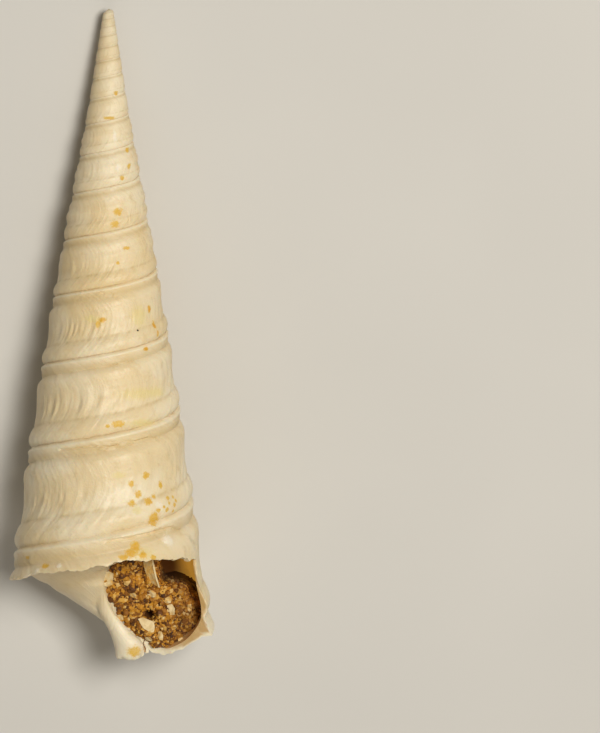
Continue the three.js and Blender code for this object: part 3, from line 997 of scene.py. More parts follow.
blade = crack()
print("crack's blade:", len(blade.data.vertices), "points")

# %% Cut them out
BORE_RIM = .3  # mm below the wall's surface where the bore's painted dark shade begins


def mark_faces(piece, name, values):
    """A number on each face, which the finish reads and cuts keep."""
    marks = piece.data.attributes.new(name, "FLOAT", "FACE")
    full = np.broadcast_to(np.asarray(values, np.float32), len(piece.data.polygons))
    marks.data.foreach_set("value", np.ascontiguousarray(full))


def carve(piece, tool, operation):
    """Cuts a piece by a tool, or keeps what both share, and takes the tool away."""
    cut = piece.modifiers.new("cut", "BOOLEAN")
    cut.operation = operation
    cut.solver = "MANIFOLD"
    cut.object = tool
    graph = bpy.context.evaluated_depsgraph_get()
    made = bpy.data.meshes.new_from_object(piece.evaluated_get(graph))
    piece.modifiers.clear()
    piece.data = made
    bpy.data.objects.remove(tool)


mark_faces(shell, "inner", 0)
mark_faces(shell, "broken", np.arange(len(shell.data.polygons)) >= skin.whole)
for tool in (hollow, hole, blade):
    middles = np.array([face.center for face in tool.data.polygons])
    from_axis = np.hypot(*unlaid(middles)[:, [0, 2]].T)
    deep = from_axis < float(wall_radius(HOLE_S, *HOLE_COIL)) - BORE_RIM
    mark_faces(tool, "inner", deep if tool is hole else 1)
    mark_faces(tool, "broken", 0)
    carve(shell, tool, "DIFFERENCE")
print("shell after cutting:", len(shell.data.polygons), "faces,", round(volume(shell)), "cubic mm")

# %% Mark the shell's places
SHARP_DEGREES = 52
STRIP_STANDS = (-.75, -.3)  # mm from the wall's mean radius between which the strip begins
BASE_EDGE = (-.05, .2)  # mm under the suture between which the base begins
MOUTH_EDGE = (.04, .2)  # mm inside the shell's surface between which the mouth begins
BEYOND = 8, 2  # degrees past the lip, and before the hollow, that still count as the mouth


def read_points(mesh):
    flat = np.zeros(len(mesh.vertices) * 3)
    mesh.vertices.foreach_get("co", flat)
    return flat.reshape(-1, 3)


def write_points(mesh, points):
    mesh.vertices.foreach_set("co", points.ravel())
    mesh.update()


def write_marks(mesh, name, values):
    marks = mesh.attributes.new(name, "FLOAT", "POINT")
    marks.data.foreach_set("value", np.asarray(values, np.float32))


def mark_shell(piece):
    """Says at each point how much it is base, and how deep in the mouth it lies."""
    points = np.clip(read_points(piece.data), *CAD_BOX)
    write_points(piece.data, points)
    x, y, z = unlaid(points).T
    s, radius = -y, np.hypot(x, z)
    theta = np.degrees(np.arctan2(z, x))
    last = np.where(theta < LIP_DEGREES, theta + 360, theta)
    wall = s * through(TAPER, s)
    strip = smooth(radius - wall, *STRIP_STANDS) * (1 - smooth(last, *STRIP_FADE))
    base = smooth(s - suture_at(last / 360), *BASE_EDGE) * (1 - strip)
    turns = theta / 360
    u = turns_at(np.maximum(s, 1)) - turns
    outside = wall_radius(s, np.clip(u, 0, 1.15), turns)
    floor_level = GROWTH ** turns * through(BASE[::-1], radius / GROWTH ** turns)
    within = (theta < LIP_DEGREES + BEYOND[0]) & (theta > HOLLOW_FROM - BEYOND[1])
    depth = within * smooth(np.minimum(outside - radius, floor_level - s), *MOUTH_EDGE)
    write_marks(piece.data, "base", base)
    write_marks(piece.data, "depth", depth)
    return base, depth


base_marks, mouth_marks = mark_shell(shell)
shell.data.shade_smooth()
shell.data.set_sharp_from_angle(angle=math.radians(SHARP_DEGREES))
print("points on the base:", int((base_marks > .5).sum()),
      "in the mouth:", int((mouth_marks > .5).sum()))

# %% [markdown]
# ## Sand in the mouth
# The broken mouth is packed with coarse ochre sand: a bank on the left, a dark hollow at the top
# right. A bumpy block cut to the shape of the hollow gives its body, and a few thousand angular
# grains, each its own small faceted stone, lie on it. A bump map can't do that: the grains cast
# shadows on each other. They are scattered over the body's upper faces in proportion to area.

# %% The sand's surface
SAND_FLAT = .95
BANK_RISE, BANK_X, BANK_S = .9, (3.1, 1.7), (51.2, 49.2)
RECESS_DROP, RECESS_X, RECESS_S = 12, (4.2, 4.75), (50.9, 49.3)
CORNER_DROP, CORNER_X, CORNER_S = 3.2, (6.2, 7.6), (52.2, 50.4)  # it lies low by the outer wall
DIP_DROP, DIP_X = 1.1, (4.8, 8.0)  # the sand falls away towards the outer wall
SHORE = [(47, .1), (49, -.05), (50.5, -.35), (51.4, -.2), (52.2, .15), (53, .65), (53.8, 1.35),
         (54.7, 2.3), (55.2, 3.1)]  # x of the inner lip at each s
SHORE_DROP, SHORE_WIDTH = (.05, .5), 1.1  # the sand lies lower beside the pillar's foot
FOOT_S = (51, 53.6)
SAND_LUMPS = .22
PIT = (3.52, 53.02, .44, 1.7)  # x, s, radius and depth of the small dark hole
SAND_FLOOR = -8
LEAST_DEPTH = .3  # mm of sand over that floor, at least


def sand_waves(x, s):
    """Broad lumps and fine unevenness of the sand."""
    lumps = np.sin(x * 2.3 + s) * np.sin(s * 2.1 - x * .7) + .5 * np.sin(x * 3.1 - s * 2.6)
    fine = .1 * np.sin(x * 9.1 + 2 * np.sin(s * 5.3)) * np.sin(s * 8.3 + x * 2)
    return SAND_LUMPS * lumps, fine


def sand_height(x, s):
    """Height of the sand over the shell's axis."""
    bank = smooth(x, *BANK_X) * smooth(s, *BANK_S)
    recess = smooth(x, *RECESS_X) * smooth(s, *RECESS_S)
    corner = CORNER_DROP * smooth(x, *CORNER_X) * smooth(s, *CORNER_S)
    dip = DIP_DROP * smooth(x, *DIP_X)
    shore = mix(*SHORE_DROP, smooth(s, *FOOT_S))
    shore = shore * (1 - smooth(x - through(SHORE, s), 0, SHORE_WIDTH))
    pit = PIT[3] * bell(np.hypot(x - PIT[0], s - PIT[1]), 0, PIT[2])
    lumps, fine = sand_waves(x, s)
    level = SAND_FLAT + BANK_RISE * bank - RECESS_DROP * recess - dip - shore - corner
    return np.maximum(level + lumps + fine - pit, SAND_FLOOR + LEAST_DEPTH)


print("sand on the bank:", round(float(sand_height(1.0, 51.0)), 2), "mm, in the pit:",
      round(float(sand_height(*PIT[:2])), 2), "mm")

# %% The sand's body
SAND_OUTLINE = [(-1.4, 47.2), (-1.5, 49.5), (-1.3, 51.5), (-.4, 53.1), (.8, 54.3), (2.2, 55.3),
                (3.4, 55.9), (5, 56.1), (6.5, 55.8), (7.6, 55), (8.4, 54), (8.9, 52.5), (8.8, 50),
                (8, 47), (3.6, 46.8)]
RIM_POINTS, SAND_RINGS = 120, 40
SAND_FROM, SAND_TO, SAND_STEPS = -44, 108, 60
SAND_INSET = .06


def sand_block():
    outline = rounded(np.array(SAND_OUTLINE, float))
    rim = resample(np.vstack([outline, outline[:1]]), RIM_POINTS + 1)[:-1]
    middle = rim.mean(0)
    points = [(middle[0], -middle[1], float(sand_height(*middle)))]
    faces = []
    for ring in range(1, SAND_RINGS + 2):
        spots = mix(middle, rim, min(ring, SAND_RINGS) / SAND_RINGS)
        top = ring <= SAND_RINGS
        heights = sand_height(*spots.T) if top else np.full(RIM_POINTS, SAND_FLOOR)
        points.extend(zip(spots[:, 0], -spots[:, 1], heights))
        for k in range(RIM_POINTS):
            a = 1 + (ring - 1) * RIM_POINTS + k
            b = 1 + (ring - 1) * RIM_POINTS + (k + 1) % RIM_POINTS
            if ring == 1:
                faces.append((0, a, b))
            else:
                faces.append((a - RIM_POINTS, a, b, b - RIM_POINTS))
    last = 1 + SAND_RINGS * RIM_POINTS
    faces.append(tuple(last + k for k in range(RIM_POINTS))[::-1])
    return face_outwards(make_piece("sand_block", points, faces))


sand = sweep("packed_sand", SAND_FROM, SAND_TO, SAND_STEPS, SAND_INSET)
carve(sand, sand_block(), "INTERSECT")
print("sand body:", len(sand.data.polygons), "faces,", round(volume(sand)), "cubic mm")

# %% Grains of many shapes
GRAINS = 3900
GRAIN_SIZE = (.165, .4, .09, .42)  # middle radius, spread, least, most
COARSE = 46
COARSE_SIZE = (.28, .4)
EDGE_S = 54.4  # beyond this s no large grain leans over the lip
STRETCH = (.6, 1.25)  # how far a grain is drawn out along each axis
FACETS = (.72, 1.12)  # how far a grain's corners move in or out
CORNERS, SIDES = 12, 20  # of one grain


def icosahedron():
    long = (1 + math.sqrt(5)) / 2
    corners = [(-1, long, 0), (1, long, 0), (-1, -long, 0), (1, -long, 0),
               (0, -1, long), (0, 1, long), (0, -1, -long), (0, 1, -long),
               (long, 0, -1), (long, 0, 1), (-long, 0, -1), (-long, 0, 1)]
    faces = [(0, 11, 5), (0, 5, 1), (0, 1, 7), (0, 7, 10), (0, 10, 11),
             (1, 5, 9), (5, 11, 4), (11, 10, 2), (10, 7, 6), (7, 1, 8),
             (3, 9, 4), (3, 4, 2), (3, 2, 6), (3, 6, 8), (3, 8, 9),
             (4, 9, 5), (2, 4, 11), (6, 2, 10), (8, 6, 7), (9, 8, 1)]
    corners = np.array(corners) / math.hypot(1, long)
    return corners, np.array(faces)


def spin(dice, count):
    """Random turns, as matrices, from unit quaternions."""
    q = dice.normal(size=(count, 4))
    w, x, y, z = (q / np.linalg.norm(q, axis=1, keepdims=True)).T
    rows = [[1 - 2 * (y * y + z * z), 2 * (x * y - z * w), 2 * (x * z + y * w)],
            [2 * (x * y + z * w), 1 - 2 * (x * x + z * z), 2 * (y * z - x * w)],
            [2 * (x * z - y * w), 2 * (y * z + x * w), 1 - 2 * (x * x + y * y)]]
    return np.moveaxis(np.array(rows), 2, 0)


def grain_shapes(dice, count, near_edge):
    """Corners of all grains about their middles, and the grains' sizes."""
    middle, spread, least, most = GRAIN_SIZE
    size = np.clip(middle * np.exp(spread * dice.normal(size=count)), least, most)
    size[:COARSE] = dice.uniform(*COARSE_SIZE, size=COARSE)
    size = np.where(near_edge, np.minimum(size, middle), size)
    stretch = dice.uniform(*STRETCH, size=(count, 1, 3))
    rough = icosahedron()[0][None] * dice.uniform(*FACETS, size=(count, CORNERS, 1)) * stretch
    return np.einsum("nij,nkj->nki", spin(dice, count), rough * size[:, None, None]), size


print("corners and sides of a grain:", *(len(part) for part in icosahedron()))

# %% Scatter the grains
GRAIN_SINK = .3  # share of its radius that a grain sinks in
SPILL = .05  # grains lie no further than this beyond the shore
UPWARD, BARELY_UP = .12, .03  # least upward share of a face's normal: anywhere, and high up
SLOPE_LEVEL = -3.5  # grains also lie on the steep slopes above this height
PIT_CLEAR = .9  # share of the pit's radius that stays clear
SEED = 56


def upper_spots(mesh, dice, count):
    """Random places on the upward faces of a mesh, with the faces' normals."""
    mesh.calc_loop_triangles()
    points = unlaid(read_points(mesh))
    corners = np.array([t.vertices for t in mesh.loop_triangles])
    a, b, c = (points[corners[:, k]] for k in range(3))
    normal = np.cross(b - a, c - a)
    area = np.linalg.norm(normal, axis=1)
    normal = normal / np.maximum(area, 1e-12)[:, None]
    slope = (normal[:, 2] > BARELY_UP) & (a[:, 2] > SLOPE_LEVEL)
    weight = area * ((normal[:, 2] > UPWARD) | slope)
    chosen = dice.choice(len(area), size=2 * count, p=weight / weight.sum())
    p, q = dice.random((2, 2 * count))
    fold = p + q > 1
    p, q = np.where(fold, 1 - p, p), np.where(fold, 1 - q, q)
    spots = a[chosen] + p[:, None] * (b - a)[chosen] + q[:, None] * (c - a)[chosen]
    clear = np.hypot(spots[:, 0] - PIT[0], spots[:, 1] + PIT[1]) > PIT[2] * PIT_CLEAR
    clear &= spots[:, 0] > through(SHORE, -spots[:, 1]) - SPILL
    return spots[clear][:count], normal[chosen][clear][:count]


def grains(mesh, dice):
    """Points, faces and tones of all grains."""
    count = GRAINS + COARSE
    spots, normals = upper_spots(mesh, dice, count)
    shapes, size = grain_shapes(dice, count, spots[:, 1] < -EDGE_S)
    centre = spots - normals * (size * GRAIN_SINK)[:, None]
    points = (shapes + centre[:, None]).reshape(-1, 3)
    first = CORNERS * np.arange(count)[:, None, None]
    faces = (icosahedron()[1][None] + first).reshape(-1, 3)
    return points, faces, np.repeat(dice.random(count), CORNERS)


dice = np.random.default_rng(SEED)
grain_points, grain_faces, grain_tone = grains(sand.data, dice)
print("grains:", len(grain_faces) // SIDES)

# %% [markdown]
# ## Bits of shell in the sand
# Among the grains lie bits of broken shell: a plate that stands at the edge of the dark hollow,
# and a few small angular chips. Each is a thin plate spanned between two broken edges, made as a
# small grid with a little ripple and a real thickness, and it joins the sand's mesh.

# %% Chips
CHIPS = [
    # one edge and the other, as (x, s, height over the sand) points, then thickness and tone
    ([(2.64, 53.25, .3), (3.02, 53.15, .5), (3.98, 53.5, .5), (4.07, 53.95, .45), (4, 54.35, .3)],
     [(2.72, 53.38, .25), (2.89, 53.7, .3), (3.14, 54.02, .3), (3.66, 54.35, .25),
      (3.9, 54.4, .3)], .16, 1.25),
    ([(5.1, 52.1, .15), (5.5, 52, .35), (5.74, 52.35, .4)],
     [(5.08, 52.6, .15), (5.35, 52.95, .2), (5.72, 52.88, .55)], .14, 1.27),
    ([(.85, 53, .2), (1.2, 52.92, .3), (1.42, 53.1, .3)],
     [(.95, 53.3, .15), (1.2, 53.45, .2), (1.4, 53.38, .3)], .12, 1.16),
    ([(4.35, 54.35, .25), (4.6, 54.3, .35), (4.78, 54.7, .3)],
     [(4.3, 54.7, .2), (4.45, 55.05, .2), (4.72, 55.1, .25)], .2, 1.15),
    ([(3.2, 54.9, .2), (3.5, 54.75, .4), (3.85, 54.95, .35)],
     [(3.3, 55.1, .15), (3.55, 55.2, .2), (3.82, 55.15, .3)], .14, 1.24),
    ([(6.0, 55.0, .1), (6.3, 54.85, .35), (6.55, 54.95, .3)],
     [(6.05, 55.25, .2), (6.3, 55.4, .25), (6.5, 55.3, .3)], .16, 1.17),
    ([(6.8, 52.1, .3), (7.1, 52.05, .4), (7.15, 52.4, .35)],
     [(6.8, 52.6, .2), (6.95, 52.75, .2), (7.15, 52.7, .25)], .2, 1.1),
    ([(2.0, 51.1, .3), (2.35, 51.0, .45), (2.5, 51.2, .4)],
     [(2.0, 51.35, .2), (2.25, 51.5, .2), (2.45, 51.42, .3)], .15, 1.12),
    ([(4.9, 51.5, .2), (5.25, 51.3, .4), (5.45, 51.6, .35)],
     [(4.85, 51.85, .15), (5.1, 51.98, .2), (5.4, 51.9, .3)], .2, 1.1),
    ([(3.4, 50.95, .2), (3.75, 50.8, .4), (4.15, 51.0, .35)],
     [(3.45, 51.3, .15), (3.8, 51.45, .2), (4.2, 51.35, .3)], .14, 1.17),
    ([(-.3, 49.2, .3), (.2, 49.1, .5), (.62, 49.3, .4)],
     [(-.25, 50.4, .3), (.1, 50.5, .4), (.5, 50.3, .35)], .1, 1.16),
]
PLATES = [
    # the same, but with heights over the shell's axis
    ([(3.75, 47.6, 2.3), (3.95, 48.7, 2.2), (4.12, 49.5, 2.0), (4.42, 50.5, 1.5)],
     [(3.0, 47.8, 1.75), (3.16, 48.8, 1.65), (3.36, 49.5, 1.45), (3.82, 50.3, 1.1)], .1, 1.09),
    ([(3.86, 47.6, 2.36), (4.06, 48.7, 2.27), (4.22, 49.5, 2.07), (4.5, 50.55, 1.56)],
     [(3.72, 47.6, 2.38), (3.92, 48.7, 2.29), (4.08, 49.5, 2.09), (4.36, 50.5, 1.58)], .12, 1.3),
]
CHIP_ROWS, CHIP_COLUMNS = 7, 11
CHIP_RIPPLE = .08
RIPPLE_FINENESS = 3.4
RIPPLE_TONE = .22  # how much lighter a chip is where it ripples up


def on_sand(line):
    line = np.array(line, float)
    line[:, 2] += sand_height(line[:, 0], line[:, 1])
    return line


def chip_top(edge, other):
    """The rippled grid between a chip's two edges, and its ripple."""
    a, b = (resample(np.array(line), CHIP_COLUMNS) for line in (edge, other))
    top = np.concatenate([mix(a, b, share) for share in np.linspace(0, 1, CHIP_ROWS)])
    ripple = np.array([noise.noise(Vector(spot) * RIPPLE_FINENESS) for spot in top])
    top[:, 2] += CHIP_RIPPLE * ripple
    return top, ripple


def chip(edge, other, thick, tone):
    """Points, faces and tones of one chip."""
    top, ripple = chip_top(edge, other)
    points = np.concatenate([top, top - np.array([0, 0, thick])]) * np.array([1, -1, 1])
    grid = np.arange(len(top)).reshape(CHIP_ROWS, CHIP_COLUMNS)
    faces = []
    for i in range(CHIP_ROWS - 1):
        for j in range(CHIP_COLUMNS - 1):
            quad = (grid[i, j], grid[i + 1, j], grid[i + 1, j + 1], grid[i, j + 1])
            faces.append(quad)
            faces.append(tuple(v + len(top) for v in quad[::-1]))
    ring = [*grid[0], *grid[1:, -1], *grid[-1, -2::-1], *grid[-2:0:-1, 0]]
    for v, after in zip(ring, ring[1:] + ring[:1]):
        faces.append((v, after, after + len(top), v + len(top)))
    return points, faces, tone + RIPPLE_TONE * np.tile(ripple, 2)


print("chips:", len(CHIPS), "plates:", len(PLATES))

# %% Join body, grains and chips
BODY_TONE = .12


def sand_parts(body):
    """Points, faces and tones of the body, then of the grains, the plates and the chips."""
    points = unlaid(read_points(body))
    yield points, [face.vertices for face in body.polygons], np.full(len(points), BODY_TONE)
    yield grain_points, grain_faces, grain_tone
    for edge, other, thick, tone in PLATES:
        yield chip(edge, other, thick, tone)
    for edge, other, thick, tone in CHIPS:
        yield chip(on_sand(edge), on_sand(other), thick, tone)


def pack_sand(body):
    """One mesh of all parts, with a tone at each point."""
    points, faces, tones = [], [], []
    used = 0
    for own, own_faces, tone in sand_parts(body.data):
        points.append(own)
        tones.append(tone)
        faces += [tuple(int(v) + used for v in face) for face in own_faces]
        used += len(own)
    full = make_piece("sand_grains", np.vstack(points), faces)
    write_marks(full.data, "tone", np.concatenate(tones))
    bpy.data.objects.remove(body)
    return full


sand = pack_sand(sand)
print("sand:", len(sand.data.polygons), "faces")

# %% [markdown]
# ## Shader maths as plain arithmetic
# A finish is a chain of nodes. Writing each node out hides the sum that it makes, so a small
# class wraps a socket and lets Python's own signs add the Math nodes. Colours are blended by Mix
# nodes instead, since a Math node would turn them grey. Every other node comes from one method.

# %% A wire


class Wire:
    """One output of a node. Arithmetic on it adds Math nodes to its sheet."""

    def __init__(self, sheet, socket):
        self.sheet = sheet
        self.socket = socket

    def math(self, operation, *others, clamp=False):
        return self.sheet.math(operation, self, *others, clamp=clamp)

    def __add__(self, other):
        return self.sheet.math("ADD", self, other)

    def __radd__(self, other):
        return self.sheet.math("ADD", other, self)

    def __sub__(self, other):
        return self.sheet.math("SUBTRACT", self, other)

    def __rsub__(self, other):
        return self.sheet.math("SUBTRACT", other, self)

    def __mul__(self, other):
        return self.sheet.math("MULTIPLY", self, other)

    def __rmul__(self, other):
        return self.sheet.math("MULTIPLY", other, self)

    def __truediv__(self, other):
        return self.sheet.math("DIVIDE", self, other)

    def __rtruediv__(self, other):
        return self.sheet.math("DIVIDE", other, self)

    def __pow__(self, other):
        return self.sheet.math("POWER", self, other)

    def __rpow__(self, other):
        return self.sheet.math("POWER", other, self)

    def __neg__(self):
        return self * -1

    def near(self, centre, width):
        """A bell: 1 at the centre, falling away over the width."""
        off = (self - centre) / width
        return (-(off * off)).math("EXPONENT")

    def step(self, start, end):
        """A smooth step from 0 at start to 1 at end, upwards or downwards."""
        low, high = sorted((start, end))
        from_value, to_value = (0.0, 1.0) if start < end else (1.0, 0.0)
        sockets = {0: self, 1: low, 2: high, 3: from_value, 4: to_value}
        return self.sheet.node("ShaderNodeMapRange", {"interpolation_type": "SMOOTHSTEP"}, sockets)


print("signs that a wire knows: + - * / **, from either side")

# %% A sheet of nodes


class Sheet:
    """The nodes of one finish."""

    def __init__(self, name):
        self.material = bpy.data.materials.new(name)
        self.material.use_nodes = True
        self.tree = self.material.node_tree
        self.shader = self.tree.nodes["Principled BSDF"]

    def feed(self, socket, value):
        """A link for a wire, and otherwise a plain value."""
        if isinstance(value, Wire):
            self.tree.links.new(value.socket, socket)
        else:
            socket.default_value = value

    def node(self, kind, settings=None, sockets=None, out=0):
        """Any node, from its type, its settings and what its sockets are fed."""
        made = self.tree.nodes.new(kind)
        for key, value in (settings or {}).items():
            if key == "stops":
                self.set_stops(made.color_ramp, value)
            else:
                setattr(made, key, value)
        for key, value in (sockets or {}).items():
            self.feed(made.inputs[key], value)
        return Wire(self, made.outputs[out])

    def set_stops(self, ramp, stops):
        while len(ramp.elements) < len(stops):
            ramp.elements.new(.5)
        for element, (at, colour) in zip(ramp.elements, stops):
            element.position = at
            element.color = (*colour, 1)

    def math(self, operation, *values, clamp=False):
        settings = {"operation": operation, "use_clamp": clamp}
        return self.node("ShaderNodeMath", settings, dict(enumerate(values)))

    def vector(self, operation, *values, out=0):
        settings = {"operation": operation}
        return self.node("ShaderNodeVectorMath", settings, dict(enumerate(values)), out)

    def mix(self, a, b, share, mode="MIX"):
        ends = [(*c, 1) if isinstance(c, tuple) else c for c in (a, b)]
        settings = {"data_type": "RGBA", "blend_type": mode, "clamp_factor": True}
        return self.node("ShaderNodeMix", settings, {0: share, 6: ends[0], 7: ends[1]}, out=2)

    def layers(self, colour, *layers):
        """Lays (colour, share) layers over a colour, one after the other."""
        for over, share in layers:
            colour = self.mix(colour, over, share)
        return colour

    def noise(self, at, scale, detail=2.0, rough=.5, out=0):
        sockets = {"Vector": at, "Scale": scale, "Detail": detail, "Roughness": rough}
        return self.node("ShaderNodeTexNoise", {"noise_dimensions": "3D"}, sockets, out)

    def join(self, x, y, z):
        return self.node("ShaderNodeCombineXYZ", None, {0: x, 1: y, 2: z})

    def split(self, vector):
        parts = self.node("ShaderNodeSeparateXYZ", None, {0: vector})
        return [Wire(self, parts.socket.node.outputs[k]) for k in range(3)]

    def own_place(self):
        """The place in the fossil's own frame, in mm: x, -s and the height above the axis."""
        at = self.node("ShaderNodeTexCoord", out="Object")
        sockets = {"Vector": at, "Location": LIE.translation * MM, "Rotation": LIE_TURN,
                   "Scale": (MM, MM, MM)}
        return self.node("ShaderNodeMapping", {"vector_type": "TEXTURE"}, sockets)

    def mark(self, name):
        """A number that the mesh carries at its points or faces."""
        return self.node("ShaderNodeAttribute", {"attribute_name": name}, out="Fac")

    def bump(self, strength, distance, height):
        sockets = {"Strength": strength, "Distance": distance, "Height": height}
        return self.node("ShaderNodeBump", None, sockets)

    def finish(self, values):
        """Feeds the shader and gives the material."""
        for name, value in values.items():
            self.feed(self.shader.inputs[name], value)
        return self.material


print("ways to write on a sheet:", len([name for name in vars(Sheet) if name[0] != "_"]))

# %% [markdown]
# ## The shell's finish
# The fossil is chalky calcite with a satin skin: cream, paler on ridges, darker along the seam,
# with painted shade in the channels and the groove, and faint bands along the growth lines.
# It could be painted as an image, but that would need the skin laid out flat. Instead the shader
# works out the place on the coil from the point itself, by the growth rule turned round, so that
# colours follow the spiral exactly, and lays the parts over each other. Ochre stains sit where
# iron seeped in.

# %% Colours


def srgb(red, green, blue):
    """A colour given in the usual 0 to 255 numbers, as light."""
    parts = [c / 255 for c in (red, green, blue)]
    return tuple(c / 12.92 if c <= .04045 else ((c + .055) / 1.055) ** 2.4 for c in parts)


CREAM = srgb(233, 213, 172)
PALE = srgb(244, 233, 206)
TAN = srgb(205, 178, 124)
WARM = srgb(226, 192, 124)
SEAM_BROWN = srgb(166, 124, 66)
OCHRE = srgb(222, 176, 30)
YELLOW = srgb(230, 212, 142)
RUST = srgb(222, 146, 22)
INSIDE = srgb(196, 150, 74)
WALL_TAN = srgb(192, 154, 92)
# painted shade for the hollow's depths and the bore's inside
DEEP_SHADE = srgb(70, 40, 14)
GLOW = srgb(158, 114, 40)  # painted glow, an emission that stands in for daylight through the thin wall
CHALK_AND_SHEEN = srgb(246, 238, 220)
BLACK_SPECK = srgb(30, 24, 18)
HOLLOW_GLOW = srgb(52, 26, 6)  # painted glow, a faint warm emission that lifts the hollow's shade
print("cream as light:", [round(c, 3) for c in CREAM])

# %% Where the stains are
STAINS = [
    # degrees round the coil, s, half width, half height in mm, and how strong the rust is
    (61, 8.98, .2, .2, .1), (86, 11.04, .5, .14, .1), (42, 13.72, .2, .25, .1),
    (45, 15.03, .2, .25, 0), (63, 15.99, .2, .2, .1), (73, 18.78, .38, .3, .1),
    (78, 19.76, .36, .3, 0), (64, 21.76, .3, .15, .1), (76, 22.98, .15, .15, .1),
    (94, 27.65, .36, .22, .3), (98, 28.0, .22, .3, 0), (39, 26.9, .2, .36, .6),
    (35, 28.24, .2, .42, .7), (33, 28.95, .14, .3, .3), (51, 30.13, .26, .18, .6),
    (80, 36.19, .55, .3, 0), (88, 36.33, .2, .16, 0), (59, 40.54, .32, .32, .1),
    (71, 41.17, .24, .3, .1), (47, 41.4, .2, .34, 0), (66, 42.03, .3, .32, .1),
    (71, 42.74, .36, .26, 0), (59, 42.66, .4, .36, .25), (54, 42.3, .2, .2, .2),
    (43, 42.52, .16, .2, 0), (38, 42.49, .14, .16, 0), (43, 42.95, .15, .16, 0),
    (38, 43.15, .16, .2, 0), (45, 43.41, .17, .17, 0), (39, 43.66, .14, .16, 0),
    (36, 42.8, .12, .18, 0), (48, 43.2, .12, .14, 0), (53, 43.43, .26, .17, .1),
    (46, 43.52, .16, .16, 0), (56, 44.12, .56, .58, .1), (70, 46.35, .48, .5, .2),
    (73, 46.8, .52, .4, .2), (78, 47.15, .45, .24, .1), (66, 47.0, .36, .32, .2),
    (59, 47.27, .26, .22, .1), (148, 47.71, .35, .15, .1), (130, 48.15, .4, .22, .1),
    (57, 56.0, .62, .5, 0), (315, 26.2, .76, .84, .8), (323, 27.07, .5, .42, .7),
    (277, 33.2, .16, .4, .7), (316, 32.75, .25, .25, .2), (251, 33.42, .3, .1, .7),
    (245, 34.1, .18, .14, .6), (230, 35.0, .4, .12, .8), (318, 41.34, .5, .25, .3),
    (224, 46.64, .25, .25, .7), (232, 48.23, .59, .76, .3), (273, 51.15, .44, .3, .8),
    (283, 51.65, .85, .24, .1),
]
# Pale spots; the long one at 73 degrees and s 12.7 is a painted highlight, a streak of sheen.
PALE_AND_SHEEN_SPOTS = [(135, 48.6, .26, .26), (119, 48.0, .24, .24), (46, 46.0, .5, .55),
              (52, 42.95, .35, .25), (73, 12.7, .16, .9), (69, 15.1, .3, .3),
              (200, 43.5, .8, 1.3), (199, 46.4, .7, 1.2)]
YELLOW_SPOTS = [(65, 46.9, .9, .6), (68, 43.3, .5, .35), (62, 33.8, 1.6, .5), (45, 33.8, 1.6, .45),
                (60, 36.2, 1.4, .35), (80, 40.4, .6, .3), (104, 27.6, .7, .4), (54, 27.4, .8, .9),
                (222, 31.0, .9, .3), (229, 31.2, .5, .25)]
DOT = (57, 28.54, .11)  # a black speck
print("stains:", len(STAINS))

# %% Masks of stains and spots
PILLAR_FROM = 55  # beyond this s a stain sits on the pillar
PILLAR_SPOT = 1.28  # radius of the pillar's own stain
STAIN_EDGE, RUST_EDGE, SPOT_EDGE = (1.3, .6), (1, .25), (1.3, .4)


def reach(sheet, own, theta, s, wide, tall):
    """How far a place is from a spot on the shell, in the spot's own half widths."""
    coil = float(turns_at(s)) - theta / 360
    turns = coil - coil % 1 + theta / 360
    radius = PILLAR_SPOT if s > PILLAR_FROM else float(wall_radius(s, coil % 1, turns))
    centre = tuple(float(v) for v in place(np.array(radius), theta, np.array(s)))
    off = sheet.vector("SUBTRACT", own, centre)
    scaled = sheet.vector("MULTIPLY", off, (1 / wide, 1 / tall, 1 / wide))
    return sheet.vector("LENGTH", scaled, out=1)


def most(blobs):
    """The strongest of several masks."""
    mask = blobs[0]
    for blob in blobs[1:]:
        mask = mask.math("MAXIMUM", blob)
    return mask


def stain_masks(sheet, own, ragged):
    """The ochre of all stains and the rust of the stronger ones, from 0 to 1."""
    ochre, rust = [], []
    for theta, s, wide, tall, strength in STAINS:
        off = reach(sheet, own, theta, s, wide, tall) + ragged
        ochre.append(off.step(*STAIN_EDGE))
        if strength > 0:
            rust.append(off.step(*RUST_EDGE) * strength)
    return most(ochre), most(rust)


def spot_mask(sheet, own, spots, ragged):
    return most([(reach(sheet, own, *spot) + ragged).step(*SPOT_EDGE) for spot in spots])


print("stains with rust:", sum(stain[-1] > 0 for stain in STAINS))

# %% The coil in the shader


class Coil:
    """Where a shaded point lies on the coil, as wires."""

    def __init__(self, sheet):
        self.sheet = sheet
        self.own = sheet.own_place()
        self.x, y, self.z = sheet.split(self.own)
        self.s = -y
        self.around = self.z.math("ARCTAN2", self.x) / (2 * math.pi)
        grown = (self.s / SUTURE).math("MAXIMUM", .01).math("LOGARITHM", GROWTH)
        self.turns = grown - self.around
        self.u = self.turns.math("FRACT")
        bow = ((self.u ** SINUS_POWER) * SINUS_PHASE).math("SINE") * (SINUS_DEGREES / 360)
        phase = (self.around + bow) * (2 * math.pi)
        self.side, self.rise = phase.math("COSINE"), phase.math("SINE")

    def lines(self, fineness, layer, detail=1.0):
        """Noise that runs down the turn along the growth lines."""
        height = self.turns * DRIFT + layer
        at = self.sheet.join(self.side * fineness, self.rise * fineness, height)
        return self.sheet.noise(at, 1.0, detail)


print("one turn grows by", GROWTH, "in the mesh and in the shader")

# %% Cream, painted groove shade and growth lines
# Painted shade darkens the channel and the low groove; the seam is darker along its line.
SEAM_DARK = .010
CHANNEL_SHADE = (.14, .055)  # place down the turn, and width
GROOVE_SHADE = (LOW_GROOVE[1], .022)
CORD_PALE = (.038, .018)
PITTED = (.3, .75)  # how the noise breaks up the seam's darkening and the painted groove shade
WARM_TURNS = (24, 7)  # s about which the shell is warmer, and over how far


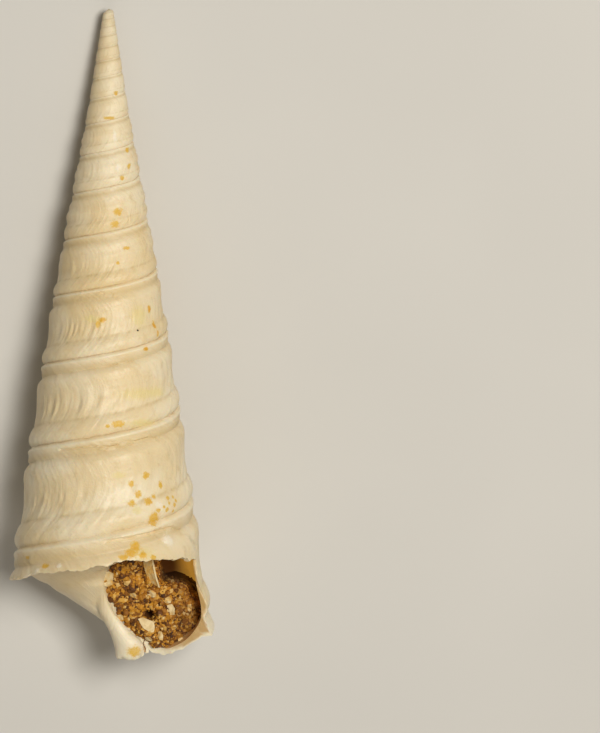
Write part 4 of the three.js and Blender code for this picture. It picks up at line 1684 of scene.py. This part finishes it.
def cream_colour(coil, wall, channel, mottle, line, fine_line):
    """Cream with pale and tan clouds, a darker seam, and painted shade in the channel and the
    groove.
    """
    sheet, s, u = coil.sheet, coil.s, coil.u
    broad = sheet.noise(coil.own, .22, 3)
    seam = (u.near(0, SEAM_DARK) + u.near(1, SEAM_DARK)).math("MINIMUM", 1) * wall
    seam = seam * (coil.turns.step(0, -.02) * .6 + .4)
    groove = u.near(*GROOVE_SHADE) * wall * coil.lines(7, 60, 3).step(*PITTED)
    # painted shade: the channel and the pitted groove are darkened as if in their own shadow
    painted_shade = (channel * .5).math("ADD", groove * .6, clamp=True)
    return sheet.layers(
        CREAM,
        (PALE, broad.step(.42, .66) * .7),
        (TAN, mottle.step(.52, .8) * .45),
        (TAN, line.step(.5, .72) * .16),
        (PALE, fine_line.step(.55, .75) * .14 * wall),
        (TAN, sheet.mark("base") * s.step(53.5, 51) * .4),
        (WARM, s.near(*WARM_TURNS) * .25),
        (PALE, u.near(*CORD_PALE) * wall * .6),
        (PALE, s.step(51.5, 54) * coil.x.step(-1, 1) * .9),
        (TAN, painted_shade),
        # the seam is darker along its line
        (SEAM_BROWN, seam * coil.lines(6, 90, 3).step(*PITTED) * .6),
    )


# where the painted groove shade lies
print("dust in the low groove, at", GROOVE_SHADE[0], "of a turn")

# %% Stains laid over it


def stained(coil, colour, ochre, rust, ragged, speck):
    """Yellow and pale spots, one a painted highlight, ochre and rust stains and a black speck."""
    sheet, own = coil.sheet, coil.own
    return sheet.layers(
        colour,
        (YELLOW, spot_mask(sheet, own, YELLOW_SPOTS, ragged) * .55),
        # pale spots, and one painted highlight
        (CHALK_AND_SHEEN, spot_mask(sheet, own, PALE_AND_SHEEN_SPOTS, ragged) * .7),
        (OCHRE, ochre * (.82 + (speck - .5) * .8)),
        (RUST, rust),
        (BLACK_SPECK, reach(sheet, own, *DOT, DOT[2]).step(1.2, .8)),
    )


print("yellow spots:", len(YELLOW_SPOTS), "pale spots:", len(PALE_AND_SHEEN_SPOTS))

# %% Inside the mouth
MOUTH_LOW = (51.4, 53)  # s over which the mouth's low part begins
LIP_TAN = (3.5, 7.2)  # x over which the break turns tan, towards the outer wall
DEEP_SHADE_X, LIT_WALL = (6.2, 5.4), (5.2, 6.6)  # x over which painted shade darkens the inside, and the painted glow lights it


def mouth_colours(coil, colour, inner, mottle):
    """The inside's tan and painted shade, and painted glows in the hollow and through the wall."""
    sheet, x, z, s = coil.sheet, coil.x, coil.z, coil.s
    low = s.step(*MOUTH_LOW)
    colour = sheet.layers(
        colour,
        (WALL_TAN, sheet.mark("broken") * sheet.mark("depth") * x.step(*LIP_TAN) * .9),
        (sheet.mix(INSIDE, WALL_TAN, low), inner * .85),
        # painted shade: the hollow's inside and the bore are darkened where shade falls
        (DEEP_SHADE, inner * x.step(*DEEP_SHADE_X) * (1 - low) * .92),
    )
    # painted glow: a faint warm emission inside the hollow, kept off the bore
    hollow_glow = inner * x.step(8, 7) * s.step(44, 46)
    # painted glow: an emission on the inside that stands in for daylight through the thin outer
    # wall
    wall_glow = inner * x.step(*LIT_WALL) * z.step(-7, -3) * (1 - low) * (mottle + .45)
    return colour, sheet.layers((0, 0, 0), (HOLLOW_GLOW, hollow_glow), (GLOW, wall_glow))


print("daylight through the wall, as light:", [round(c, 3) for c in GLOW])

# %% The shell's material


def shell_finish():
    sheet = Sheet("cream_shell")
    coil = Coil(sheet)
    wall = 1 - sheet.mark("base")
    inner = sheet.mark("inner")
    channel = coil.u.near(*CHANNEL_SHADE) * wall
    mottle = sheet.noise(coil.own, 1.1, 4, .6)
    speck = sheet.noise(coil.own, 5.5, 3, .6)
    line, fine_line = coil.lines(11, 0), coil.lines(34, 30, 2)
    ragged = (sheet.noise(coil.own, 4.2, 4, .75) - .5) * 2.1
    ochre, rust = stain_masks(sheet, coil.own, ragged)
    colour = cream_colour(coil, wall, channel, mottle, line, fine_line)
    colour = stained(coil, colour, ochre, rust, ragged, speck)
    colour, glow = mouth_colours(coil, colour, inner, mottle)
    threads = sheet.noise(sheet.join(coil.turns * 22, coil.around * 3, 5.0), 1.0, 2) * wall
    height = fine_line * .25 + line * .5 + threads * .2 + speck * .3 + mottle * .5
    return sheet.finish({
        "Base Color": colour,
        "Roughness": .36 + mottle * .2 + inner * .25 + ochre * .1 + channel * .1,
        "Normal": sheet.bump(.7, .00016, height),
        # painted glows, as emission: warm in the hollow, and daylight through the thin wall
        "Emission Color": glow,
        "Emission Strength": 1.0,
        "Specular IOR Level": .45,
        "Coat Weight": .08,
        "Coat Roughness": .3,
        "Subsurface Weight": .18,
        "Subsurface Radius": (1, .6, .28),
        "Subsurface Scale": .0007,
    })


shell.data.materials.clear()
shell.data.materials.append(shell_finish())
print("shell finish:", len(shell.data.materials[0].node_tree.nodes), "nodes")

# %% [markdown]
# ## The sand's finish
# Sand is many minerals. A material for each would do, but here each grain carries one number,
# its tone, and a ramp turns the tone into dark brown, ochre, honey or milky quartz, in the shares
# that the real sand has. The chips' tones run past one, to cream. A little noise stains the
# grains, and painted shade darkens the sand where it lies deep and towards the outer wall.

# %% The sand's material
SAND_STOPS = [
    (0, srgb(64, 32, 4)), (.1, srgb(104, 60, 8)), (.28, srgb(152, 96, 16)),
    (.45, srgb(188, 130, 30)), (.6, srgb(208, 148, 40)), (.7, srgb(220, 174, 84)),
    (.77, srgb(232, 204, 146)), (.8, srgb(222, 172, 84)), (.88, srgb(216, 190, 138)),
    (.97, srgb(238, 216, 168)),
]
TONE_SPAN = 1.32
CHIP_TONES = (.82, .76)  # shares of the span over which the stains leave the chips alone
IRON = srgb(120, 70, 18)
QUARTZ = srgb(196, 168, 122)
# painted shadow of the outer wall on the sand's right side
SHADED = srgb(84, 48, 12)
# painted shade where the sand lies deep in the hollow
SUNK_SHADE = srgb(44, 24, 8)


def sand_finish():
    sheet = Sheet("ochre_sand")
    own = sheet.own_place()
    x, _, z = sheet.split(own)
    tone = sheet.mark("tone") / TONE_SPAN
    cloud = sheet.noise(own, 1.6, 3, .6)
    speck = sheet.noise(own, 9, 3, .6)
    milky = sheet.noise(own, 3.4, 2).step(.56, .68) * tone.step(.3, .5)
    grain = tone.step(*CHIP_TONES)
    at = tone + (cloud - .5) * .12 * tone.step(.8, .7)
    colour = sheet.layers(
        sheet.node("ShaderNodeValToRGB", {"stops": SAND_STOPS}, {0: at}),
        (IRON, speck.step(.55, .75) * grain * .55),
        (QUARTZ, milky * grain * .5),
        # painted shadow: darker towards the outer wall, where its shadow falls
        (SHADED, x.step(5, 6.6) * grain * .4),
        # painted shade: darker where the sand lies low
        (SUNK_SHADE, z.step(-.3, -2) * .8),
    )
    return sheet.finish({
        "Base Color": colour,
        "Roughness": .5 + cloud * .35,
        "Normal": sheet.bump(.5, .00006, speck),
        "Specular IOR Level": .5,
    })


sand.data.materials.append(sand_finish())
print("sand finish:", len(sand.data.materials[0].node_tree.nodes), "nodes")

# %% [markdown]
# ## Join the frame
# The frame is the part's own: its solids and its one moving body. Each piece stands for its
# solid, which is hidden, and rides on that body. One joined mesh would be simpler, but then shell
# and sand couldn't be told apart.

# %% Tie the pieces to the frame
for piece, node in ((shell, "shell"), (sand, "sand_fill")):
    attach(piece, "root")
    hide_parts(node)
print("pieces:", shell.name, "for shell,", sand.name, "for sand_fill")

# %% [markdown]
# ## Floor, light and camera
# A plain pale floor and a few large soft lamps show the form: a strong one from the upper right,
# which leaves the left side of each turn in warm shade, and weak ones to fill. A sky all round
# would light it too, but less clearly. The camera looks down on the fossil through a long lens,
# a little from the tip's end.

# %% Floor
FLOOR_SIZE = 1.6  # metres
FLOOR_GREYS = srgb(208, 206, 202), srgb(216, 214, 210)


def pale_floor():
    half = FLOOR_SIZE / 2
    mesh = bpy.data.meshes.new("floor")
    corners = [(-half, -half, 0), (half, -half, 0), (half, half, 0), (-half, half, 0)]
    mesh.from_pydata(corners, [], [(0, 1, 2, 3)])
    floor = bpy.data.objects.new("floor", mesh)
    bpy.context.scene.collection.objects.link(floor)
    sheet = Sheet("pale_floor")
    at = sheet.node("ShaderNodeTexCoord", out="Object")
    cloud = sheet.noise(at, 40, 2)
    colour = sheet.mix(*FLOOR_GREYS, cloud)
    mesh.materials.append(sheet.finish({"Base Color": colour, "Roughness": .9}))
    return floor


pale_floor()
print("floor:", FLOOR_SIZE, "m wide")

# %% Lights
LAMPS = [
    # place in metres, size in metres, power in watts, colour
    ((.14, .155, .42), .14, 1.77, (1, .96, .88)),
    ((-.34, .05, .3), .3, .03, (1, .88, .72)),
    ((0, -.36, .3), .3, .42, (1, .94, .84)),
]
SKY = (1, .92, .77)
SKY_STRENGTH = .1
AIM = Vector((0, .01, .006))


def add_lamp(spot, size, power, colour):
    light = bpy.data.lights.new("soft_lamp", "AREA")
    light.size = size
    light.energy = power
    light.color = colour
    lamp = bpy.data.objects.new("soft_lamp", light)
    lamp.location = spot
    lamp.rotation_euler = (AIM - Vector(spot)).to_track_quat("-Z", "Y").to_euler()
    bpy.context.scene.collection.objects.link(lamp)


for lamp in LAMPS:
    add_lamp(*lamp)
world = bpy.data.worlds.new("studio")
world.use_nodes = True
world.node_tree.nodes["Background"].inputs["Color"].default_value = (*SKY, 1)
world.node_tree.nodes["Background"].inputs["Strength"].default_value = SKY_STRENGTH
bpy.context.scene.world = world
bpy.context.scene.view_settings.view_transform = "Standard"
print("lamps:", len(LAMPS))

# %% Camera
FRAME_WIDE, FRAME_TALL = 600, 733
PIXELS_TO_MM = 11.91  # of the frame, where the axis lies
VIEW_TILT = 6 + LIE_DEGREES  # degrees from straight down, towards the tip
ROLL = .33
DISTANCE = .5
AXIS_X, AXIS_ORIGIN = 107.6, -14  # the frame's column and row of the cone's point
CLIP = .01, 10  # metres between which the camera sees


def camera_place():
    """Where the camera is and how it is turned."""
    middle_s = (FRAME_TALL / 2 - AXIS_ORIGIN) / PIXELS_TO_MM
    middle_x = (FRAME_WIDE / 2 - AXIS_X) / PIXELS_TO_MM
    target = Vector(laid([(middle_x, -middle_s, 0)])[0])
    tilt = math.radians(VIEW_TILT)
    back = Vector((0, math.sin(tilt), math.cos(tilt)))
    right = Vector((0, 1, 0)).cross(back).normalized()
    turn = Matrix((right, back.cross(right), back)).transposed()
    rolled = turn @ Matrix.Rotation(math.radians(ROLL), 3, "Z")
    return Matrix.Translation(target + back * DISTANCE) @ rolled.to_4x4()


def add_camera():
    lens = bpy.data.cameras.new("camera")
    lens.lens = lens.sensor_width * DISTANCE / (FRAME_TALL / PIXELS_TO_MM * MM)
    lens.clip_start, lens.clip_end = CLIP
    camera = bpy.data.objects.new("camera", lens)
    camera.matrix_world = camera_place()
    bpy.context.scene.collection.objects.link(camera)
    bpy.context.scene.camera = camera
    return camera


camera = add_camera()
height = round(camera.matrix_world.translation.z, 3)
print("the camera is", height, "m up, its lens", round(camera.data.lens), "mm")

# %% [markdown]
# ## Finish
# The shell's points were clipped to the solids' box when marked; the scene is brought up to date.
# The visual model has to stay inside the solids' box.

# %% Finish
bpy.context.view_layer.update()
